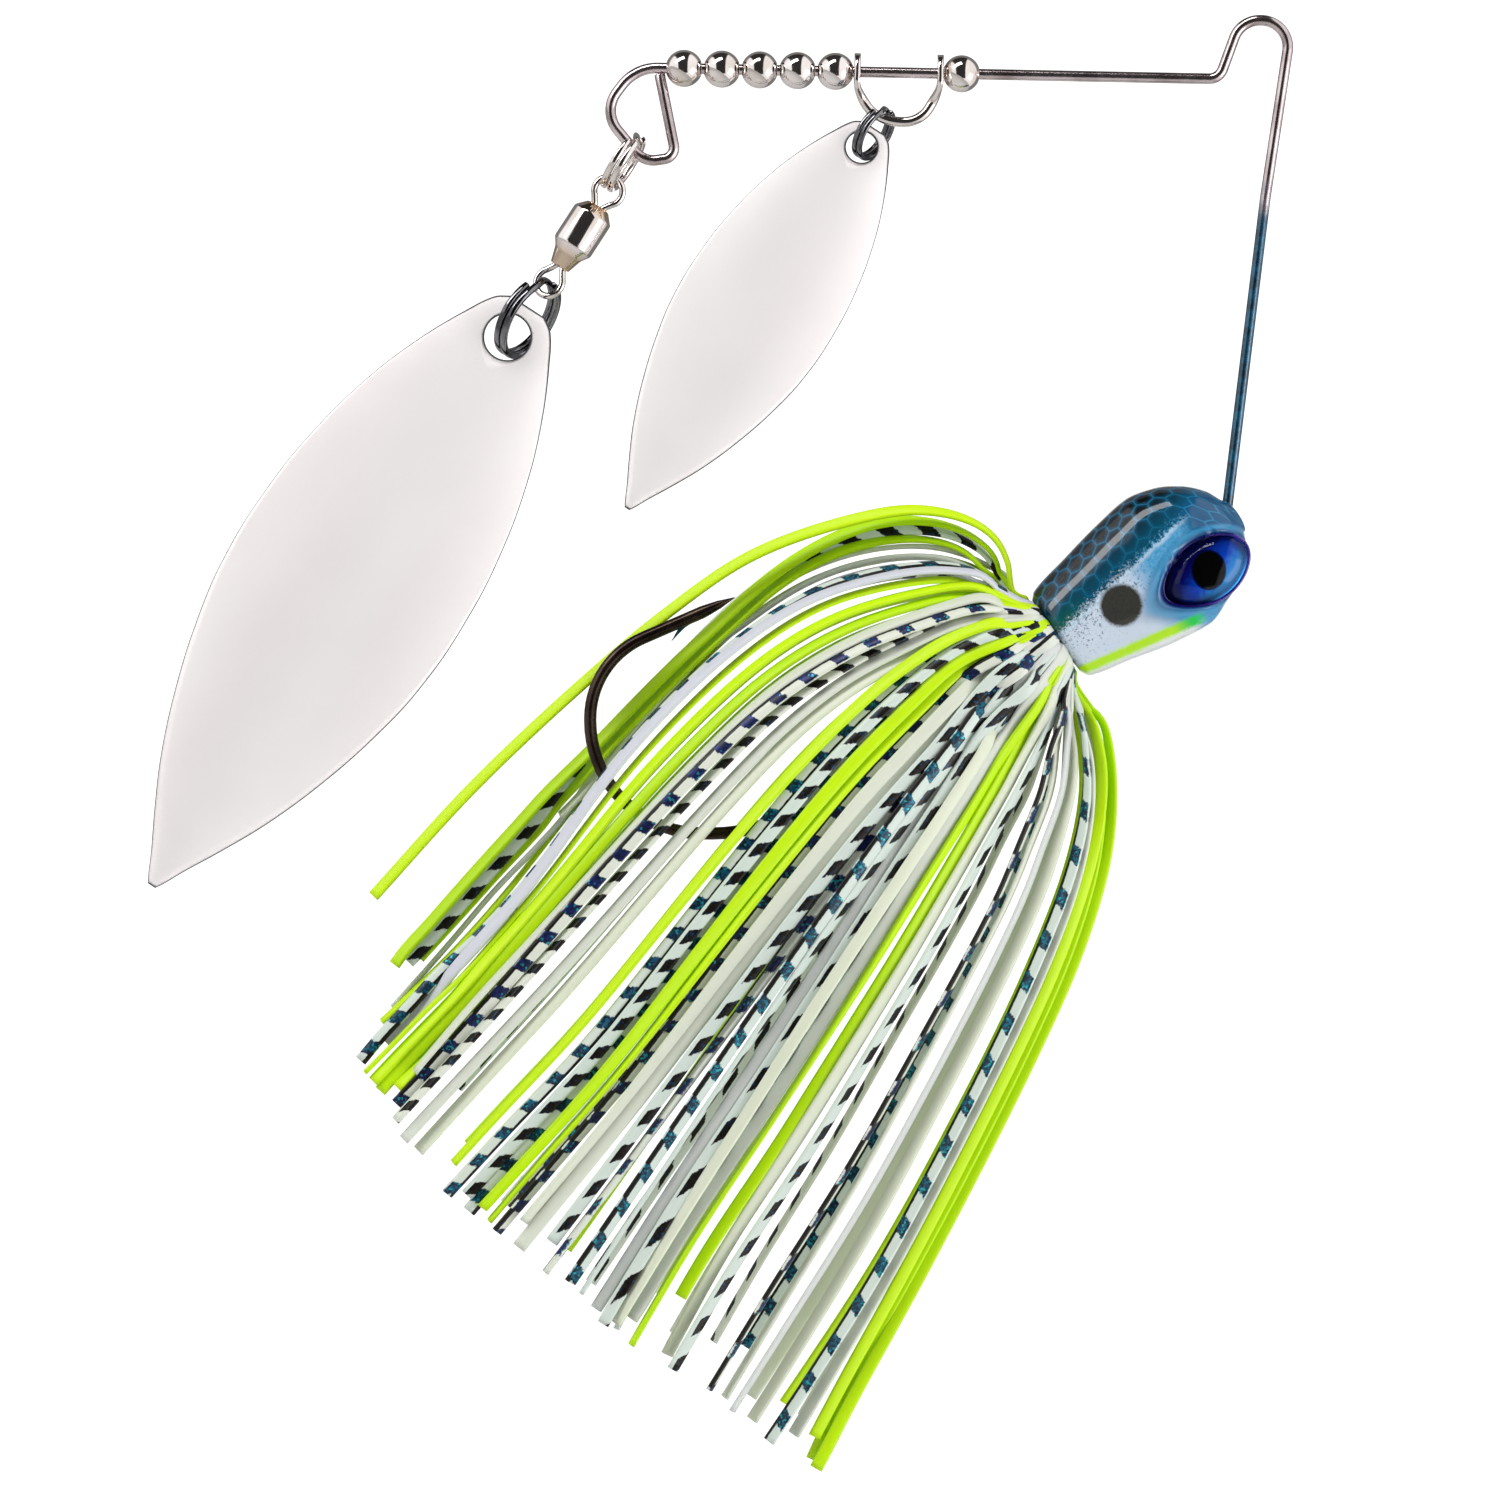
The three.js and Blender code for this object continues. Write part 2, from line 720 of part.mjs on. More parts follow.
function addHead(lure) {
  lure.add(named("wire_frame", rod(wirePath(), WIRE_RADIUS, 8), steel));
  lure.add(named("hook", hookGeometry(), hookFinish));
  lure.add(named("head", headGeometry(), headPaint));
  for (const [name, side] of [["right", -1], ["left", 1]]) {
    lure.add(named("eye_foil_" + name, eyeOval(side, FOIL_BASE, FOIL_TOP, FOIL_MARGIN), eyeFoil));
    lure.add(named("eye_lens_" + name, eyeLensGeometry(side), eyeLens));
  }
}

// A group on the upper arm, whose X runs along the arm.
function onArm(x) {
  const group = new THREE.Group();
  group.position.set(x, 0, armHeight(x));
  group.rotation.y = -Math.atan(ARM_SLOPE);
  return group;
}

function addArmPieces(lure) {
  for (let i = 0; i < BEAD_COUNT; i += 1) {
    const place = onArm(FIRST_BEAD_X + i * BEAD_PITCH);
    place.add(named("bead_" + (i + 1), beadGeometry(), nickel));
    lure.add(place);
  }
  const front = onArm(FRONT_BEAD_X);
  front.add(named("front_bead", beadGeometry(), nickel));
  const clevis = onArm(CLEVIS_X);
  clevis.add(named("clevis", clevisGeometry(), nickel));
  lure.add(front, clevis);
}

// A group in the hanging frame, turned about the vertical.
function hanging(place, yaw) {
  const group = new THREE.Group();
  group.position.copy(place);
  group.rotation.z = -yaw;
  return group;
}

function addSmallBlade(root) {
  const ring = hanging(SMALL_RING_CENTRE, RING_YAW);
  ring.add(named("small_split_ring", splitRingGeometry(SMALL_RING_RADIUS, SMALL_RING_WIRE, 32), darkChrome));
  const blade = hanging(SMALL_BLADE_HOLE, 0);
  blade.add(named("small_blade", bladeGeometry(SMALL_BLADE), bladeSilver));
  root.add(ring, blade);
}

function addSwivel(root) {
  const ring = hanging(LOOP_RING_CENTRE, LOOP_RING_YAW);
  ring.add(named("loop_split_ring", splitRingGeometry(LOOP_RING_RADIUS, LOOP_RING_WIRE, 34), nickel));
  const swivel = hanging(SWIVEL_TOP, 0);
  swivel.add(named("swivel_shell", swivelShellGeometry(), nickel));
  swivel.add(named("swivel_upper_eye", swivelUpperEyeGeometry(), nickel));
  const shaft = hanging(SWIVEL_TOP, RING_YAW);
  shaft.add(named("swivel_shaft", swivelShaftGeometry(), nickel));
  for (let i = 0; i < BALL_COUNT; i += 1) {
    const angle = (2 * Math.PI * i) / BALL_COUNT;
    const ball = named("swivel_ball_" + (i + 1), new THREE.SphereGeometry(BALL_RADIUS, 8, 5), steel);
    ball.position.set(BALL_CIRCLE * Math.cos(angle), BALL_CIRCLE * Math.sin(angle), BALL_HEIGHT);
    swivel.add(ball);
  }
  root.add(ring, swivel, shaft);
}

function addLargeBlade(root) {
  const ring = hanging(LARGE_RING_CENTRE, RING_YAW);
  ring.add(named("large_split_ring", splitRingGeometry(LARGE_RING_RADIUS, LARGE_RING_WIRE, 38), darkChrome));
  const blade = hanging(LARGE_BLADE_HOLE, 0);
  blade.add(named("large_blade", bladeGeometry(LARGE_BLADE), bladeSilver));
  root.add(ring, blade);
}

function spinnerbait() {
  const root = new THREE.Group();
  const lure = new THREE.Group();
  lure.rotation.y = -HANG_TILT;
  addHead(lure);
  addSkirt(lure);
  addArmPieces(lure);
  root.add(lure);
  addSmallBlade(root);
  addSwivel(root);
  addLargeBlade(root);
  return root;
}

export default spinnerbait();
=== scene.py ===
"""A double willow-leaf spinnerbait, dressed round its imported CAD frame.

The lure's own frame is upright with the upper arm level, in millimetres. It is tilted by TILT
about Y into the row frame, in which the rings, the swivel and the blades hang straight down.
"""

import math
import random

import bmesh
import bpy
from mathutils import Matrix, Vector
from mathutils.kdtree import KDTree


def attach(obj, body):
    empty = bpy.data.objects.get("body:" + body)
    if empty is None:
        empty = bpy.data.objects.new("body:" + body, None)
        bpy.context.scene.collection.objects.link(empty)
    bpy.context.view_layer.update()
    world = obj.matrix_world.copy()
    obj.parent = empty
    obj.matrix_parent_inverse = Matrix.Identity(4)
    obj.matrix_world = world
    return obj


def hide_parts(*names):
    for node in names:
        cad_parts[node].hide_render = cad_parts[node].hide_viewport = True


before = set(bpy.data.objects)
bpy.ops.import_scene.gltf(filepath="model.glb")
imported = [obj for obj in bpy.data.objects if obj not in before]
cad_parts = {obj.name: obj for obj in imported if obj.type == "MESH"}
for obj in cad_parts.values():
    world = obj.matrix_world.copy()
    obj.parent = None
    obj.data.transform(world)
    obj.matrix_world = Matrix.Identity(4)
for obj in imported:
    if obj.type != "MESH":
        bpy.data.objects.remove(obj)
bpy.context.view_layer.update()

MM = 0.001
TILT = math.radians(33)

# The head's axis in the lure's plane: where it starts at the skull's back, and its slope.
# The neck lies NECK_RISE above it.
HEAD_BACK = (-16.9, -49.9)
HEAD_ANGLE = math.radians(34)
NECK_RISE = 0.25

# The upper arm starts at ARM_START and falls by ARM_SLOPE
ARM_START, ARM_SLOPE = (-3.42, -4.33), 0.0195

LURE_MIDDLE = Vector((-2.81, 0, -72.6)) * MM
CAMERA_DISTANCE, LENS = 0.5125, 150
FLOOR_HEIGHT, FLOOR_RADIUS = -0.6, 1.4


# ---- Frames ---------------------------------------------------------------


def tilted(x, y, z):
    """A point of the lure's own frame in the row frame."""
    c, s = math.cos(TILT), math.sin(TILT)
    return Vector((x * c - z * s, y, x * s + z * c)) * MM


def on_head(along, rise):
    """A point of the lure's plane, from its distance along the head's axis and off it."""
    c, s = math.cos(HEAD_ANGLE), math.sin(HEAD_ANGLE)
    return HEAD_BACK[0] + along * c - rise * s, HEAD_BACK[1] + along * s + rise * c


def head_point(along, y, rise):
    """A point of the head in the row frame."""
    x, z = on_head(along, rise)
    return tilted(x, y, z)


def around_neck(along, radius, angle):
    """A point round the neck: angle 0 is its top, a quarter turn its far side."""
    rise = NECK_RISE + radius * math.cos(angle)
    return head_point(along, radius * math.sin(angle), rise)


def arm_height(x):
    """The height of the upper arm, from its x in the lure's own frame."""
    return ARM_START[1] - ARM_SLOPE * (x - ARM_START[0])


ARM = tilted(1, 0, -ARM_SLOPE).normalized()


def on_arm(x):
    """A point of the upper arm, from its x in the lure's own frame."""
    return tilted(x, 0, arm_height(x))


# ---- Camera, light and floor ----------------------------------------------


def add_camera():
    """Looks along +Y at the lure's middle, rolled with its upper arm level."""
    camera = bpy.data.objects.new("camera", bpy.data.cameras.new("camera"))
    bpy.context.scene.collection.objects.link(camera)
    camera.data.lens = LENS
    camera.data.clip_start = 0.01
    turn = Matrix.Rotation(-TILT, 4, "Y") @ Matrix.Rotation(math.radians(90), 4, "X")
    camera.matrix_world = Matrix.Translation(LURE_MIDDLE - Vector((0, CAMERA_DISTANCE, 0))) @ turn
    bpy.context.scene.camera = camera


def add_area(name, place, lie, size, power, colour):
    """A soft lamp that faces the lure's middle, with its long side along a direction."""
    lamp = bpy.data.lights.new(name, "AREA")
    lamp.shape = "RECTANGLE"
    lamp.size, lamp.size_y = size
    lamp.energy = power
    lamp.color = colour
    holder = bpy.data.objects.new(name, lamp)
    bpy.context.scene.collection.objects.link(holder)
    back = (Vector(place) - Vector((0, 0, -0.06))).normalized()
    side = (Vector(lie) - back * Vector(lie).dot(back)).normalized()
    turn = Matrix((side, back.cross(side), back)).transposed().to_4x4()
    holder.matrix_world = Matrix.Translation(place) @ turn


add_camera()


# ---- Mesh building --------------------------------------------------------


class Shape:
    """Gathers rings of points into one mesh, with named numbers on its points."""

    def __init__(self):
        self.points, self.faces, self.values = [], [], {}

    def rings(self, rings, caps=True, **values):
        """A skin over rings of equal length. Each value holds one row for each ring."""
        first, n = len(self.points), len(rings[0])
        for ring in rings:
            self.points.extend(ring)
        for name, rows in values.items():
            held = self.values.setdefault(name, {})
            for i, row in enumerate(rows):
                for j in range(n):
                    held[first + i * n + j] = row[j] if hasattr(row, "__len__") else row
        for i in range(len(rings) - 1):
            for j in range(n):
                a, b = first + i * n + j, first + i * n + (j + 1) % n
                self.faces.append((a, b, b + n, a + n))
        if caps:
            last = len(rings) - 1
            for i in (0, last):
                self.cap(first + i * n, n, rings[i], {k: v[i] for k, v in values.items()})

    def cap(self, first, n, ring, values):
        """Closes the ring of points that starts at first with a fan from its middle."""
        centre = len(self.points)
        self.points.append(sum(ring, Vector()) / n)
        for name, row in values.items():
            self.values[name][centre] = row[0] if hasattr(row, "__len__") else row
        self.faces.extend((first + j, first + (j + 1) % n, centre) for j in range(n))

    def piece(self, name, look, slot, body, nodes=()):
        """Makes the object, which rides on a body and stands for the CAD nodes."""
        mesh = bpy.data.meshes.new(name)
        mesh.from_pydata(self.points, [], self.faces)
        for value, held in self.values.items():
            attribute = mesh.attributes.new(value, "FLOAT", "POINT")
            numbers = [float(held.get(i, 0)) for i in range(len(self.points))]
            attribute.data.foreach_set("value", numbers)
        shell = bmesh.new()
        shell.from_mesh(mesh)
        bmesh.ops.recalc_face_normals(shell, faces=shell.faces)
        shell.to_mesh(mesh)
        shell.free()
        mesh.shade_smooth()
        mesh.materials.append(look)
        made = bpy.data.objects.new(name, mesh)
        bpy.context.scene.collection.objects.link(made)
        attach(made, body)
        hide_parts(*nodes)
        return made


def carried(path, up):
    """The direction, side and up at each point of a path, carried along without twist."""
    frames = []
    for i in range(len(path)):
        ahead = (path[min(i + 1, len(path) - 1)] - path[max(i - 1, 0)]).normalized()
        up = (up - ahead * up.dot(ahead)).normalized()
        frames.append((ahead, ahead.cross(up), up))
    return frames


def circle(radius, sides):
    """Points at equal steps round a circle."""
    turns = [2 * math.pi * i / sides for i in range(sides)]
    return [(radius * math.cos(a), radius * math.sin(a)) for a in turns]


def bevelled_ends(path, reach):
    """Each path point with a scale for its ring, which closes in over the ends."""
    start, end = path[0], path[-1]
    back, ahead = (start - path[1]).normalized(), (end - path[-2]).normalized()
    steps = [(0.0, 1.0), (0.45, 0.92), (0.8, 0.7), (1.0, 0.35)]
    head = [(start + back * reach * out, size) for out, size in reversed(steps)]
    tail = [(end + ahead * reach * out, size) for out, size in steps]
    return head + [(point, 1.0) for point in path[1:-1]] + tail


def rod(shape, path, section, up=Vector((0, 1, 0)), end=0.12, size=None):
    """Sweeps a section along a path. size is its scale at a share of the length."""
    stations = bevelled_ends(path, end * MM)
    line = [point for point, _ in stations]
    gone = [0.0]
    for a, b in zip(line, line[1:]):
        gone.append(gone[-1] + (b - a).length / MM)
    rings = []
    for (point, share), (_, side, top), at in zip(stations, carried(line, up), gone):
        scale = share * (size(at / gone[-1]) if size else 1)
        rings.append([point + (side * a + top * b) * scale * MM for a, b in section])
    turns = [j / len(section) for j in range(len(section))]
    shape.rings(rings, along=gone, turn=[turns] * len(gone))


def smooth_path(points, count):
    """A centripetal Catmull-Rom curve through the points, at equal steps of length."""
    ends = [points[0] * 2 - points[1], *points, points[-1] * 2 - points[-2]]
    dense = []
    for p0, p1, p2, p3 in zip(ends, ends[1:], ends[2:], ends[3:]):
        t1 = (p1 - p0).length ** 0.5
        t2 = t1 + (p2 - p1).length ** 0.5
        t3 = t2 + (p3 - p2).length ** 0.5
        for k in range(16):
            t = t1 + (t2 - t1) * k / 16
            a1 = p0 * ((t1 - t) / t1) + p1 * (t / t1)
            a2 = p1 * ((t2 - t) / (t2 - t1)) + p2 * ((t - t1) / (t2 - t1))
            a3 = p2 * ((t3 - t) / (t3 - t2)) + p3 * ((t - t2) / (t3 - t2))
            b1 = a1 * ((t2 - t) / t2) + a2 * (t / t2)
            b2 = a2 * ((t3 - t) / (t3 - t1)) + a3 * ((t - t1) / (t3 - t1))
            dense.append(b1 * ((t2 - t) / (t2 - t1)) + b2 * ((t - t1) / (t2 - t1)))
    dense.append(points[-1].copy())
    return even_steps(dense, count)


def even_steps(line, count):
    """count points at equal distances along a line of many points."""
    gone = [0.0]
    for a, b in zip(line, line[1:]):
        gone.append(gone[-1] + (b - a).length)
    result, i = [], 0
    for k in range(count):
        want = gone[-1] * k / (count - 1)
        while i < len(gone) - 2 and gone[i + 1] < want:
            i += 1
        share = (want - gone[i]) / max(gone[i + 1] - gone[i], 1e-12)
        result.append(line[i].lerp(line[i + 1], min(share, 1.0)))
    return result


def bent(corners):
    """A wire bent at corners [x, z, bend radius] of the lure's plane, in fine steps."""
    arc = math.radians(5)
    places = [tilted(c[0], 0, c[1]) for c in corners]
    path = [places[0]]
    for before, corner, after, spec in zip(places, places[1:], places[2:], corners[1:]):
        radius = spec[2] * MM
        back, ahead = (before - corner).normalized(), (after - corner).normalized()
        half = back.angle(ahead) / 2
        centre = corner + (back + ahead).normalized() * radius / math.sin(half)
        reach = radius / math.tan(half)
        spoke = corner + back * reach - centre
        axis = spoke.cross(corner + ahead * reach - centre).normalized()
        turn = math.pi - 2 * half
        count = max(3, math.ceil(turn / arc))
        straight(path, centre + spoke)
        for i in range(1, count + 1):
            path.append(centre + Matrix.Rotation(turn * i / count, 3, axis) @ spoke)
    straight(path, places[-1])
    return path


def straight(path, end):
    """Adds a straight stretch to a path, in steps of at most 2 mm."""
    start = path[-1]
    count = max(1, math.ceil((end - start).length / (2 * MM)))
    path.extend(start.lerp(end, i / count) for i in range(1, count + 1))


def lathed(shape, profile, centre, axis, sides=64, closed=False, **values):
    """Turns a profile [radius, height] (mm) about an axis through a point."""
    side = axis.orthogonal().normalized()
    other = axis.cross(side)
    rings = []
    for r, h in profile:
        middle = centre + axis * h * MM
        rings.append([middle + (side * a + other * b) * MM for a, b in circle(r, sides)])
    if closed:
        rings.append([p.copy() for p in rings[0]])
    shape.rings(rings, caps=False, **values)


def rounded(corners, radius, steps=4, closed=False):
    """A profile with its corners rounded off."""
    flat = [Vector(c) for c in corners]
    result = [] if closed else [tuple(flat[0])]
    n = len(flat)
    for i in range(0 if closed else 1, n if closed else n - 1):
        before, corner, after = flat[i - 1], flat[i], flat[(i + 1) % n]
        reach = min(radius, (before - corner).length / 2.2, (after - corner).length / 2.2)
        a = corner + (before - corner).normalized() * reach
        b = corner + (after - corner).normalized() * reach
        for k in range(steps + 1):
            t = k / steps
            result.append(tuple(a * (1 - t) ** 2 + corner * 2 * t * (1 - t) + b * t * t))
    return result if closed else result + [tuple(flat[-1])]


# ---- Materials ------------------------------------------------------------


def srgb(red, green, blue):
    """A display colour, 0 to 255, as the linear colour that a shader takes."""
    shares = [c / 255 for c in (red, green, blue)]
    return tuple(c / 12.92 if c <= 0.04045 else ((c + 0.055) / 1.055) ** 2.4 for c in shares) + (1,)


class Reading:
    """A number, colour or direction over a surface. Arithmetic on it adds shader nodes."""

    def __init__(self, nodes, socket):
        self.nodes, self.socket = nodes, socket

    def __add__(self, other):
        return self.nodes.math("ADD", self, other)

    def __sub__(self, other):
        return self.nodes.math("SUBTRACT", self, other)

    def __rsub__(self, other):
        return self.nodes.math("SUBTRACT", other, self)

    def __mul__(self, other):
        return self.nodes.math("MULTIPLY", self, other)

    def __pow__(self, power):
        return self.nodes.math("POWER", self, power)

    def __abs__(self):
        return self.nodes.math("ABSOLUTE", self)


class Nodes:
    """Makes shader nodes in one tree, each fed by numbers or by other nodes' readings."""

    def __init__(self, tree):
        self.tree = tree

    def node(self, kind, sockets=None, output=0, **settings):
        made = self.tree.nodes.new("ShaderNode" + kind)
        for key, value in settings.items():
            setattr(made, key, value)
        for key, value in (sockets or {}).items():
            self.feed(made.inputs[key], value)
        return Reading(self, made.outputs[output])

    def feed(self, socket, value):
        if isinstance(value, Reading):
            self.tree.links.new(value.socket, socket)
        else:
            socket.default_value = value

    def math(self, operation, a, b=0.0):
        return self.node("Math", {0: a, 1: b}, operation=operation)

    def step(self, value, low, high, out_low=0.0, out_high=1.0):
        """A smooth ramp of a value from low to high."""
        sockets = {"Value": value, "From Min": low, "From Max": high}
        sockets.update({"To Min": out_low, "To Max": out_high})
        return self.node("MapRange", sockets, "Result", interpolation_type="SMOOTHSTEP")

    def mix(self, share, a, b):
        return self.node("Mix", {0: share, 6: a, 7: b}, 2, data_type="RGBA")

    def join(self, *parts):
        """A vector of up to three numbers."""
        return self.node("CombineXYZ", dict(enumerate(parts)))


class Look(Nodes):
    """A material: one Principled shader and the nodes that feed it."""

    def __init__(self, name, **settings):
        self.material = bpy.data.materials.new(name)
        self.material.use_nodes = True
        super().__init__(self.material.node_tree)
        self.shader = self.tree.nodes["Principled BSDF"]
        self.drive(**settings)
        self.places = self.node("TexCoord", output="Object")

    def drive(self, **sockets):
        """Sets or feeds the shader's sockets, whose names have _ for each space."""
        for socket, value in sockets.items():
            self.feed(self.shader.inputs[socket.replace("_", " ")], value)

    def value(self, name):
        """The numbers that a mesh holds on its points under a name."""
        return self.node("Attribute", output="Fac", attribute_name=name)

    def noise(self, fineness, detail=3.0, places=None, rough=0.55):
        """Noise in the object's own space, with its fineness per mm, or at given places."""
        scale = fineness / MM if places is None else fineness
        sockets = {"Vector": places or self.places, "Scale": scale}
        sockets.update({"Detail": detail, "Roughness": rough})
        return self.node("TexNoise", sockets, "Fac")

    def bump(self, height, strength, distance):
        sockets = {"Height": height, "Strength": strength, "Distance": distance * MM}
        return self.node("Bump", sockets, "Normal")


def metal(name, light, dark, rough, grain=0.05, drawn=True):
    """A metal with faint stains, drawing lines along it and small handling marks."""
    look = Look(name, Metallic=1.0)
    stain = look.step(look.noise(0.35, 4.0), 0.35, 0.72)
    look.bare = look.mix(stain, srgb(*light), srgb(*dark))
    look.drive(Base_Color=look.bare)
    if drawn:
        lines = look.join(look.value("along") * 0.25, look.value("turn"), 0.0)
        fine = look.noise(9.0, 3.0, lines)
    else:
        fine = look.noise(3.5, 5.0)
    marks = look.step(look.noise(1.6, 6.0, rough=0.7), 0.5, 0.75)
    base = fine * 0.16 + (rough - 0.08)
    look.drive(Roughness=marks * 0.1 + base)
    look.drive(Normal=look.bump(fine, grain, 0.02))
    return look


def wire_look():
    """Plain steel; the leg by the head has taken the head's dark blue paint."""
    look = metal("wire_steel_drawn", (212, 198, 200), (164, 148, 148), 0.17, grain=0.05)
    # along runs in mm from the end in the head, and noise makes the edge of the paint ragged
    ragged = look.noise(0.8, 4.0) * 6.0 + look.value("along")
    painted = look.step(ragged, 47.0, 42.0)
    mottle = look.step(look.noise(1.1, 5.0, rough=0.7), 0.35, 0.65)
    paint = look.mix(mottle, srgb(10, 42, 62), srgb(24, 92, 122))
    look.drive(Base_Color=look.mix(painted, look.bare, paint))
    look.drive(Metallic=painted * -0.55 + 1.0)
    look.drive(Coat_Weight=painted * 0.7)
    return look.material


def hook_look():
    """A dark bronze plating, with blue paint on the shank where it leaves the head."""
    look = metal("hook_bronze_black", (74, 60, 52), (40, 31, 28), 0.24, grain=0.1)
    worn = look.step(look.noise(0.9, 6.0, rough=0.75), 0.62, 0.72)
    plated = look.mix(worn, look.bare, srgb(96, 84, 78))
    ragged = look.noise(0.7, 4.0) * 8.0 + look.value("along")
    painted = look.step(ragged, 43.0, 36.0)
    mottle = look.step(look.noise(0.9, 5.0, rough=0.7), 0.35, 0.65)
    paint = look.mix(mottle, srgb(10, 52, 62), srgb(22, 104, 118))
    look.drive(Base_Color=look.mix(painted, plated, paint))
    look.drive(Metallic=painted * -0.5 + 0.9)
    return look.material


def nickel_look():
    """Polished nickel with a warm, slightly brassy cast in places."""
    look = metal("nickel_polished", (226, 219, 217), (208, 198, 190), 0.08, 0.03, drawn=False)
    look.drive(Base_Color=look.mix(look.value("brass"), look.bare, srgb(196, 158, 104)))
    return look.material


def dark_chrome_look():
    """Black chrome, worn to grey in places."""
    return metal("chrome_dark", (128, 128, 132), (46, 44, 48), 0.1, 0.04).material


def blade_look():
    """Bright silver plate, softly banded, with a fine grain, small rubs by the edge and a painted dark
    reflection along the rim.
    """
    look = Look("blade_silver_plate", Metallic=0.3)
    slant = {"Rotation": (0, math.radians(28), 0), "Scale": (90, 60, 22)}
    slanted = look.node("Mapping", {"Vector": look.places, **slant})
    bands = look.step(look.noise(1.0, 2.0, slanted, 0.4), 0.3, 0.72)
    tint = look.mix(bands, srgb(248, 241, 242), srgb(254, 250, 250))
    flecks = look.step(look.noise(9.0, 5.0, rough=0.75), 0.56, 0.7)
    edge = look.value("edge")
    dulled = flecks * (edge * 0.5 + 0.08)
    tint = look.mix(dulled, tint, srgb(150, 146, 150))
    # Painted shade: the rim's dark line stands for the shade the blade's edge reflects, and the flecks
    # add real nicks to it
    painted_rim_shade_and_nicks = edge + flecks * 0.12
    rim = look.step(painted_rim_shade_and_nicks, 0.62, 0.86)
    look.drive(Base_Color=look.mix(rim, tint, srgb(66, 62, 66)))
    soft = look.noise(0.2, 3.0) * 0.1 + 0.36
    look.drive(Roughness=flecks * 0.08 + soft)
    look.drive(Normal=look.bump(look.noise(7.0, 4.0, rough=0.65), 0.1, 0.02))
    return look.material


# ---- Wire frame and hook --------------------------------------------------

WIRE_RADIUS = 0.45
HOOK_RADIUS = 0.52
HOOK_RISE = 0.95
HOOK_BENDS = [(-40.6, -66.2, 13), (-55, -66.2, 9.2), (-55, -52.05, 7.2)]
ARM_END = (-51.3, arm_height(-51.3))


def add_wire_frame():
    """One wire: the leg in the head, the line tie, the upper arm and its end loop."""
    path = bent(
        [
            on_head(2.2, -1.15),
            (*on_head(15.9, -1.15), 2),
            (0.36, -14.05, 8),
            (2.56, 0.48, 2.2),
            (-1.66, 0.48, 2.2),
            (*ARM_START, 1.2),
            (*ARM_END, 3.6),
            (-54, -7, 2.5),
            (-50.6, -11.15, 1.9),
            (-47.95, -10.75, 0.95),
            (-49.3, -4.0),
        ]
    )
    shape = Shape()
    rod(shape, path, circle(WIRE_RADIUS, 24))
    shape.piece("wire_frame_drawn", wire_look(), "wire_steel", "root", ["wire_frame"])


def add_hook():
    """The shank, the bend and the tapered point, with its barb on the inside."""
    shank = [on_head(8.3, HOOK_RISE), (*on_head(-6, HOOK_RISE), 20)]
    corners = [*shank, *HOOK_BENDS, (-45.8, -48.05, 6), (-43.15, -46.85)]
    shape = Shape()
    needle = 0.035

    def taper(share):
        left = (1 - share) / needle
        return 1 if left > 1 else 0.04 + 0.96 * left**0.7

    rod(shape, bent(corners), circle(HOOK_RADIUS, 28), end=0.02, size=taper)
    barb = smooth_path(
        [tilted(-46.2, 0, -48.35), tilted(-47.2, 0, -49.0), tilted(-48.35, 0, -50.45)], 14
    )
    rod(shape, barb, circle(0.4, 14), end=0.02, size=lambda share: 1.04 - share)
    shape.piece("hook_drawn", hook_look(), "hook_dark", "root", ["hook"])


# ---- Beads, clevis and split rings ----------------------------------------

BEAD_RADIUS, BEAD_HOLE = 1.54, 0.5
BEAD_PITCH = 3.1
LAST_BEAD_X, FRONT_BEAD_X, CLEVIS_X = -47.3, -24.55, -29.7


def add_bead(name, x, look):
    """A drilled ball with a softly rounded hole edge, on the upper arm."""
    radius, hole = BEAD_RADIUS, BEAD_HOLE
    start = math.acos(hole / radius) - 0.05
    ball = [start * (2 * i / 40 - 1) for i in range(41)]
    outside = [(radius * math.cos(a), radius * math.sin(a)) for a in ball]
    high = radius * math.sin(start)
    corners = [(hole + 0.03, high - 0.03), (hole, high - 0.2), (hole, 0), (hole, 0.2 - high)]
    corners.append((hole + 0.03, 0.03 - high))
    profile = outside + corners + outside[:1]
    shape = Shape()
    lathed(shape, profile, on_arm(x), ARM, 56)
    shape.piece(name + "_turned", look, "bright_nickel", name, [name])


def hole_cut(made, centre, axis, radius, length):
    """Drills a round hole through a made piece and keeps the result as its mesh."""
    drill, sides = Shape(), 40
    lathed(drill, [(radius, -length / 2), (radius, length / 2)], centre, axis, sides)
    for first in (0, sides):
        drill.cap(first, sides, drill.points[first : first + sides], {})
    mesh = bpy.data.meshes.new("drill")
    mesh.from_pydata(drill.points, [], drill.faces)
    shell = bmesh.new()
    shell.from_mesh(mesh)
    bmesh.ops.recalc_face_normals(shell, faces=shell.faces)
    shell.to_mesh(mesh)
    shell.free()
    tool = bpy.data.objects.new("drill", mesh)
    bpy.context.scene.collection.objects.link(tool)
    modifier = made.modifiers.new("hole", "BOOLEAN")
    modifier.object = tool
    modifier.solver = "EXACT"
    view = bpy.context.evaluated_depsgraph_get()
    made.data = bpy.data.meshes.new_from_object(made.evaluated_get(view))
    made.modifiers.clear()
    bpy.data.objects.remove(tool)
    made.data.shade_smooth()
    made.data.set_sharp_from_angle(angle=math.radians(40))


